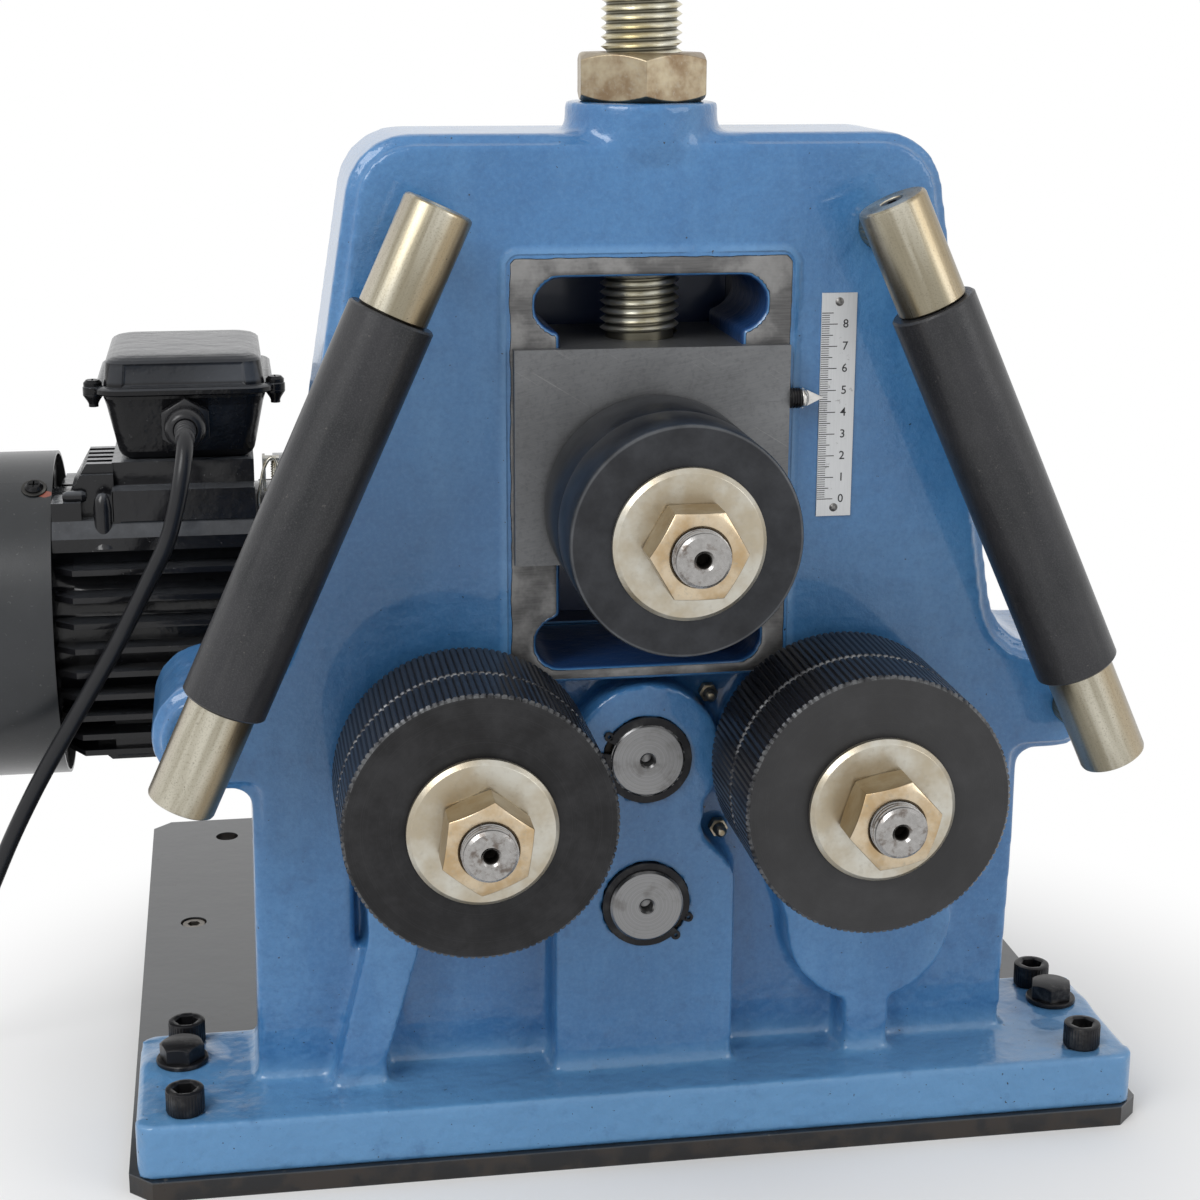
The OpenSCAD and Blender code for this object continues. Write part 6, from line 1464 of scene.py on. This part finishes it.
bar_between(plate, (-169.5 * MM, 184 * MM, 303 * MM), (-161 * MM, 192 * MM, 304.4 * MM))
wire = bmesh.new()
around = []
for i in range(WIRE_STEPS):
    turn = math.tau * i / WIRE_STEPS
    around.append(Vector((3.4 * math.cos(turn), 0, 9.5 * math.sin(turn) + math.copysign(4.5, math.sin(turn)))) * MM)
hoops = []
for i, at in enumerate(around):
    ahead = (around[(i + 1) % WIRE_STEPS] - around[i - 1]).normalized()
    out = Vector((ahead.z, 0, -ahead.x))
    ring = [(math.tau * k / WIRE_SIDES, WIRE_R) for k in range(WIRE_SIDES)]
    hoops.append([wire.verts.new(at + (out * math.cos(a) + Vector((0, 1, 0)) * math.sin(a)) * r) for a, r in ring])
for i, hoop in enumerate(hoops):
    for k in range(WIRE_SIDES):
        wire.faces.new((hoop[k], hoops[i - 1][k], hoops[i - 1][k - 1], hoop[k - 1]))
bmesh.ops.recalc_face_normals(wire, faces=wire.faces)
lean = Matrix.Translation((-167.5 * MM, 183 * MM, 291 * MM)) @ Matrix.Rotation(math.radians(12), 4, "Y")
bmesh.ops.transform(wire, matrix=lean, verts=wire.verts)
ridges = [(0, 0)]
for i in range(12):
    ridges += [(1.5 * MM, (0.2 + 1.3 * i) * MM), (2.1 * MM, (0.8 + 1.3 * i) * MM)]
ridges += [(0, 16 * MM)]
wire = lathe(ridges, Matrix.Translation((-163.5 * MM, 186 * MM, 287 * MM)), 24, join(wire, plate))
clip_zinc = zinc("clip_zinc", (0.56, 0.55, 0.50), (0.38, 0.34, 0.25), 0.24, 200, 0.5)
make("motor_wire_clip", wire, clip_zinc, "frame", (), sharp=40)
rotor_steel = clouded("rotor_steel", 70, 3, (0.28, 0.27, 0.26), (0.44, 0.43, 0.42), 0.3, 0.15, Metallic=1.0)
coat("motor_rotor", rotor_steel)


# Motor cowl: drawn from thin sheet and painted satin black, held by three cross head screws on washers. Slots in its
# end let the fan draw air in. A dab of red paint marks the screw that was set last.
COWL_R = 87.6 * MM
COWL_SCREW_X = -287 * MM
DAB_AT = (-281.4 * MM, 194.9 * MM, 286.7 * MM)

cowl_paint = Finish("cowl_satin_paint", Coat_Roughness=0.24, Specular_Ior_Level=0.4, Coat_Weight=0.35)
cloud = cowl_paint.noise(16, 4, 0.6)
dust = cowl_paint.noise(420, 3, 0.6).ramp(0.64, 0.74)
x, y, z = [axis - at for axis, at in zip(cowl_paint.axes(), DAB_AT)]
off = (x * x * 0.4 + z * z + y * y).power(0.5)
dab = (off + 0.001 * cowl_paint.noise(500, 2)).ramp(0.0031, 0.0025)
tone = cowl_paint.blend(cloud.ramp(0.3, 0.7), (0.008, 0.010, 0.012), (0.016, 0.018, 0.021))
tone = cowl_paint.layers(tone, (0.4 * dust, (0.10, 0.10, 0.10)), (0.8 * dab, (0.30, 0.075, 0.045)))
cowl_paint.set(Base_Color=tone, Roughness=0.28 + 0.10 * cloud)
cowl_paint.relief((cowl_paint.noise(1300, 2), 0.00005), (cloud, 0.0003))
from_cad("motor_cowl_drawn", "motor_cowl", cowl_paint, "frame", 0.3 * MM, 28)
rings_black = None
for degrees in (62, 118, 270):
    place = Matrix.Translation((COWL_SCREW_X, MOTOR_Y, MOTOR_Z)) @ Matrix.Rotation(math.radians(degrees - 90), 4, "X")
    rings_black = washer(place @ Matrix.Translation((0, 0, COWL_R - 0.3 * MM)), 6.6 * MM, 2.5 * MM, 1.1 * MM, 0.2 * MM,
                         rings_black, 40)
washer_dark = oiled_black("cowl_washer_dark", (0.035, 0.034, 0.032), (0.15, 0.145, 0.13), 0.4)
make("cowl_screw_washers", rings_black, washer_dark, "frame", (), bevel=0.15 * MM)
screw_black = oiled_black("pan_screw_black", (0.010, 0.010, 0.011), (0.05, 0.05, 0.052), 0.3)
from_cad("motor_screws_black", "motor_screws", screw_black, "frame", 0.22 * MM, 30, 3)
fan_nylon = clouded("fan_nylon", 60, 3, (0.02, 0.02, 0.02), (0.05, 0.048, 0.045), 0.5, 0.2)
fan_nylon.fine_relief(900, 2, 0.00005)
from_cad("motor_fan_moulded", "motor_fan", fan_nylon, "rotor", 0.4 * MM)


# Terminal box: pressed and enamelled glossy black. The lower part tapers to its seat. The lid has a flat rim with
# two screwed ears at the front, a domed top and a shallow pressed panel on its front and back.
BOX_W = 83 * MM
BOX_D = 104 * MM
BOX_CORNER = 9.5 * MM
BOX_LOW = 303 * MM
LID_LOW = 338 * MM
LID_TOP = 358 * MM
LUG_OUT = 46.5 * MM
LUG_ACROSS = 40 * MM


def pressed_block(size, corner, levels):
    """A block with round upright edges over the motor, drawn up through levels of (height, inset)."""
    new = bmesh.new()
    bmesh.ops.create_grid(new, x_segments=1, y_segments=1, size=0.5)
    bmesh.ops.scale(new, vec=(size[0], size[1], 1), verts=new.verts)
    bmesh.ops.bevel(new, geom=new.verts[:], offset=corner, offset_type="OFFSET", segments=8, profile=0.5,
                    affect="VERTICES", material=-1)
    face = new.faces[:][0]
    before = 0
    bmesh.ops.translate(new, verts=new.verts, vec=(0, 0, levels[0][0]))
    for i, (height, inset) in enumerate(levels):
        if i:
            raised = bmesh.ops.extrude_face_region(new, geom=[face])["geom"]
            face = [part for part in raised if isinstance(part, bmesh.types.BMFace)][0]
            bmesh.ops.translate(new, verts=face.verts, vec=(0, 0, height - levels[i - 1][0]))
        shrink = [(side - 2 * inset) / (side - 2 * before) for side in size]
        bmesh.ops.scale(new, vec=(*shrink, 1), verts=face.verts)
        before = inset
    bmesh.ops.recalc_face_normals(new, faces=new.faces)
    bmesh.ops.translate(new, verts=new.verts, vec=(PAD_MIDDLE, MOTOR_Y, 0))
    return new


def ears(profile, bm):
    """Two round ears, one at each end of the box's front, turned from the profile."""
    for side in (-1, 1):
        bm = lathe(profile, Matrix.Translation((PAD_MIDDLE + side * LUG_OUT, MOTOR_Y - LUG_ACROSS, 0)), 36, bm)
    return bm


box_enamel = Finish("box_gloss_black", Coat_Roughness=0.07, Specular_Ior_Level=0.22, Coat_Weight=0.12)
cloud = box_enamel.noise(22, 4, 0.6)
dust = box_enamel.noise(460, 3, 0.6).ramp(0.66, 0.76)
tone = box_enamel.blend(cloud.ramp(0.3, 0.7), (0.004, 0.004, 0.005), (0.008, 0.008, 0.009))
x, y, z = box_enamel.axes()
# Painted reflection: the lid's front panel is paler, most at its right end, and so are the upward faces.
lid_panel_reflection = (z - LID_LOW - 5 * MM).ramp(0, 0.002) * (LID_TOP - 2 * MM - z).ramp(0, 0.004)
lid_panel_reflection = lid_panel_reflection * (MOTOR_Y - 47 * MM - y).ramp(0, 0.001) * (0.45 + 0.55 * (x - PAD_MIDDLE).ramp(-0.01, 0.03))
painted_sheen = lid_panel_reflection.larger(0.45 * box_enamel.facing()[2].ramp(0.25, 0.8)) * (0.45 + 0.6 * cloud)
tone = box_enamel.layers(tone, (painted_sheen, (0.082, 0.089, 0.101)), (0.4 * dust, (0.10, 0.10, 0.10)))
box_enamel.set(Base_Color=tone, Roughness=0.18 + 0.10 * cloud)
box_enamel.relief((box_enamel.noise(75, 3), 0.0009), (box_enamel.noise(600, 2), 0.00005))
box = pressed_block((BOX_W, BOX_D), BOX_CORNER, [
    (BOX_LOW + rise * MM, inset * MM) for rise, inset in (
        (0, 12), (0.7, 9.6), (2.2, 7.7), (4.6, 6.5), (8, 5.7), (29, 1.5), (33, 0.3), (35, 0.2),
    )
])
cone = [(r * MM, LID_LOW - drop * MM) for r, drop in (
    (0, 7), (1.8, 7), (3.2, 4), (4.7, 1.8), (5.2, 1), (5.2, 0), (0, 0),
)]
make("terminal_box_tapered", ears(cone, box), box_enamel, "frame", "terminal_box", bevel=0.3 * MM)
lid = pressed_block((BOX_W + 8 * MM, BOX_D + 8 * MM), BOX_CORNER + 4 * MM, [
    (LID_LOW + rise * MM, inset * MM) for rise, inset in ((0, 0.8), (0.8, 0), (3, 0), (4, 1.2))
])
dome = pressed_block((BOX_W, BOX_D), BOX_CORNER, [
    (LID_LOW + rise * MM, inset * MM) for rise, inset in (
        (3.8, 0), (4.2, 0.5), (16.2, 1.9), (17.5, 3.1), (18.7, 5.2), (19.45, 8), (19.88, 11.5), (20, 16),
    )
])
panels = [face for face in dome.faces if abs(face.normal.y) > 0.9 and face.calc_area() > 300 * MM * MM]
for thickness, depth in in_mm((0.3, 0), (1.2, -0.9), (0.9, -0.3)):
    bmesh.ops.inset_individual(dome, faces=panels, thickness=thickness, depth=depth)
disc = [(r * MM, LID_LOW + rise * MM) for r, rise in ((0, 0), (5.2, 0), (5.2, 3.2), (4.4, 4), (0, 4))]
make("terminal_box_lid_domed", ears(disc, join(lid, dome)), box_enamel, "frame", "terminal_box_lid",
     bevel=0.45 * MM, segments=3)


# Cable gland: a nylon hexagon against the box, a domed nut that squeezes the seal, and a tapered rubber strain
# relief, which eases the cord's bend as it leaves the nut.
GLAND_X = -208 * MM
GLAND_Z = 323 * MM
GLAND_FACE = 168 * MM
BOX_FACE = 188 * MM
RELIEF_END = 152 * MM
RELIEF_LENGTH = 24 * MM
RELIEF_GROOVES = 4

nylon = clouded(
    "gland_nylon", 150, 3, (0.008, 0.008, 0.009), (0.020, 0.020, 0.022), 0.20, 0.14, Specular_Ior_Level=0.35
)
nylon.fine_relief(900, 2, 0.00004)
seat = along_y(GLAND_X, BOX_FACE - 7 * MM, GLAND_Z) @ Matrix.Rotation(math.radians(30), 4, "Z")
gland = hexagon(seat, 24 * MM, 8.5 * MM, 9 * MM)
gland = lathe(in_mm(
    (0, 5), (5.6, 5), (5.6, 0.5), (6.1, 0), (7.0, 0), (8.4, 0.8), (9.6, 2.2), (10.4, 4.2), (10.8, 6.6), (10.8, 12.6),
    (10.3, 13.2), (0, 13.2),
), along_y(GLAND_X, GLAND_FACE, GLAND_Z), 56, gland)
make("cable_gland_nylon", gland, nylon, "frame", "cable_gland", bevel=0.25 * MM)
relief_profile = [(0, 0), (CORD_D / 2 + 0.2 * MM, 0), (CORD_D / 2 + 0.45 * MM, 0.4 * MM)]
for i in range(RELIEF_GROOVES):
    base = (3 + 3.2 * i) * MM
    r = CORD_D / 2 + (0.55 + 0.22 * i) * MM
    groove_r = r - 0.35 * MM
    relief_profile += [(r, base), (groove_r, base + 0.3 * MM), (groove_r, base + 1.2 * MM),
                       (r + 0.1 * MM, base + 1.5 * MM)]
relief_profile += [(5.5 * MM, 17 * MM), (5.5 * MM, RELIEF_LENGTH), (0, RELIEF_LENGTH)]
relief = lathe(relief_profile, along_y(GLAND_X, RELIEF_END, GLAND_Z), 36)
for vert in relief.verts:
    ahead = max(162 * MM - vert.co.y, 0) / (12 * MM)
    vert.co.z -= 3 * MM * ahead * ahead
make("cord_strain_relief", relief, moulded, "frame", (), sharp=40)
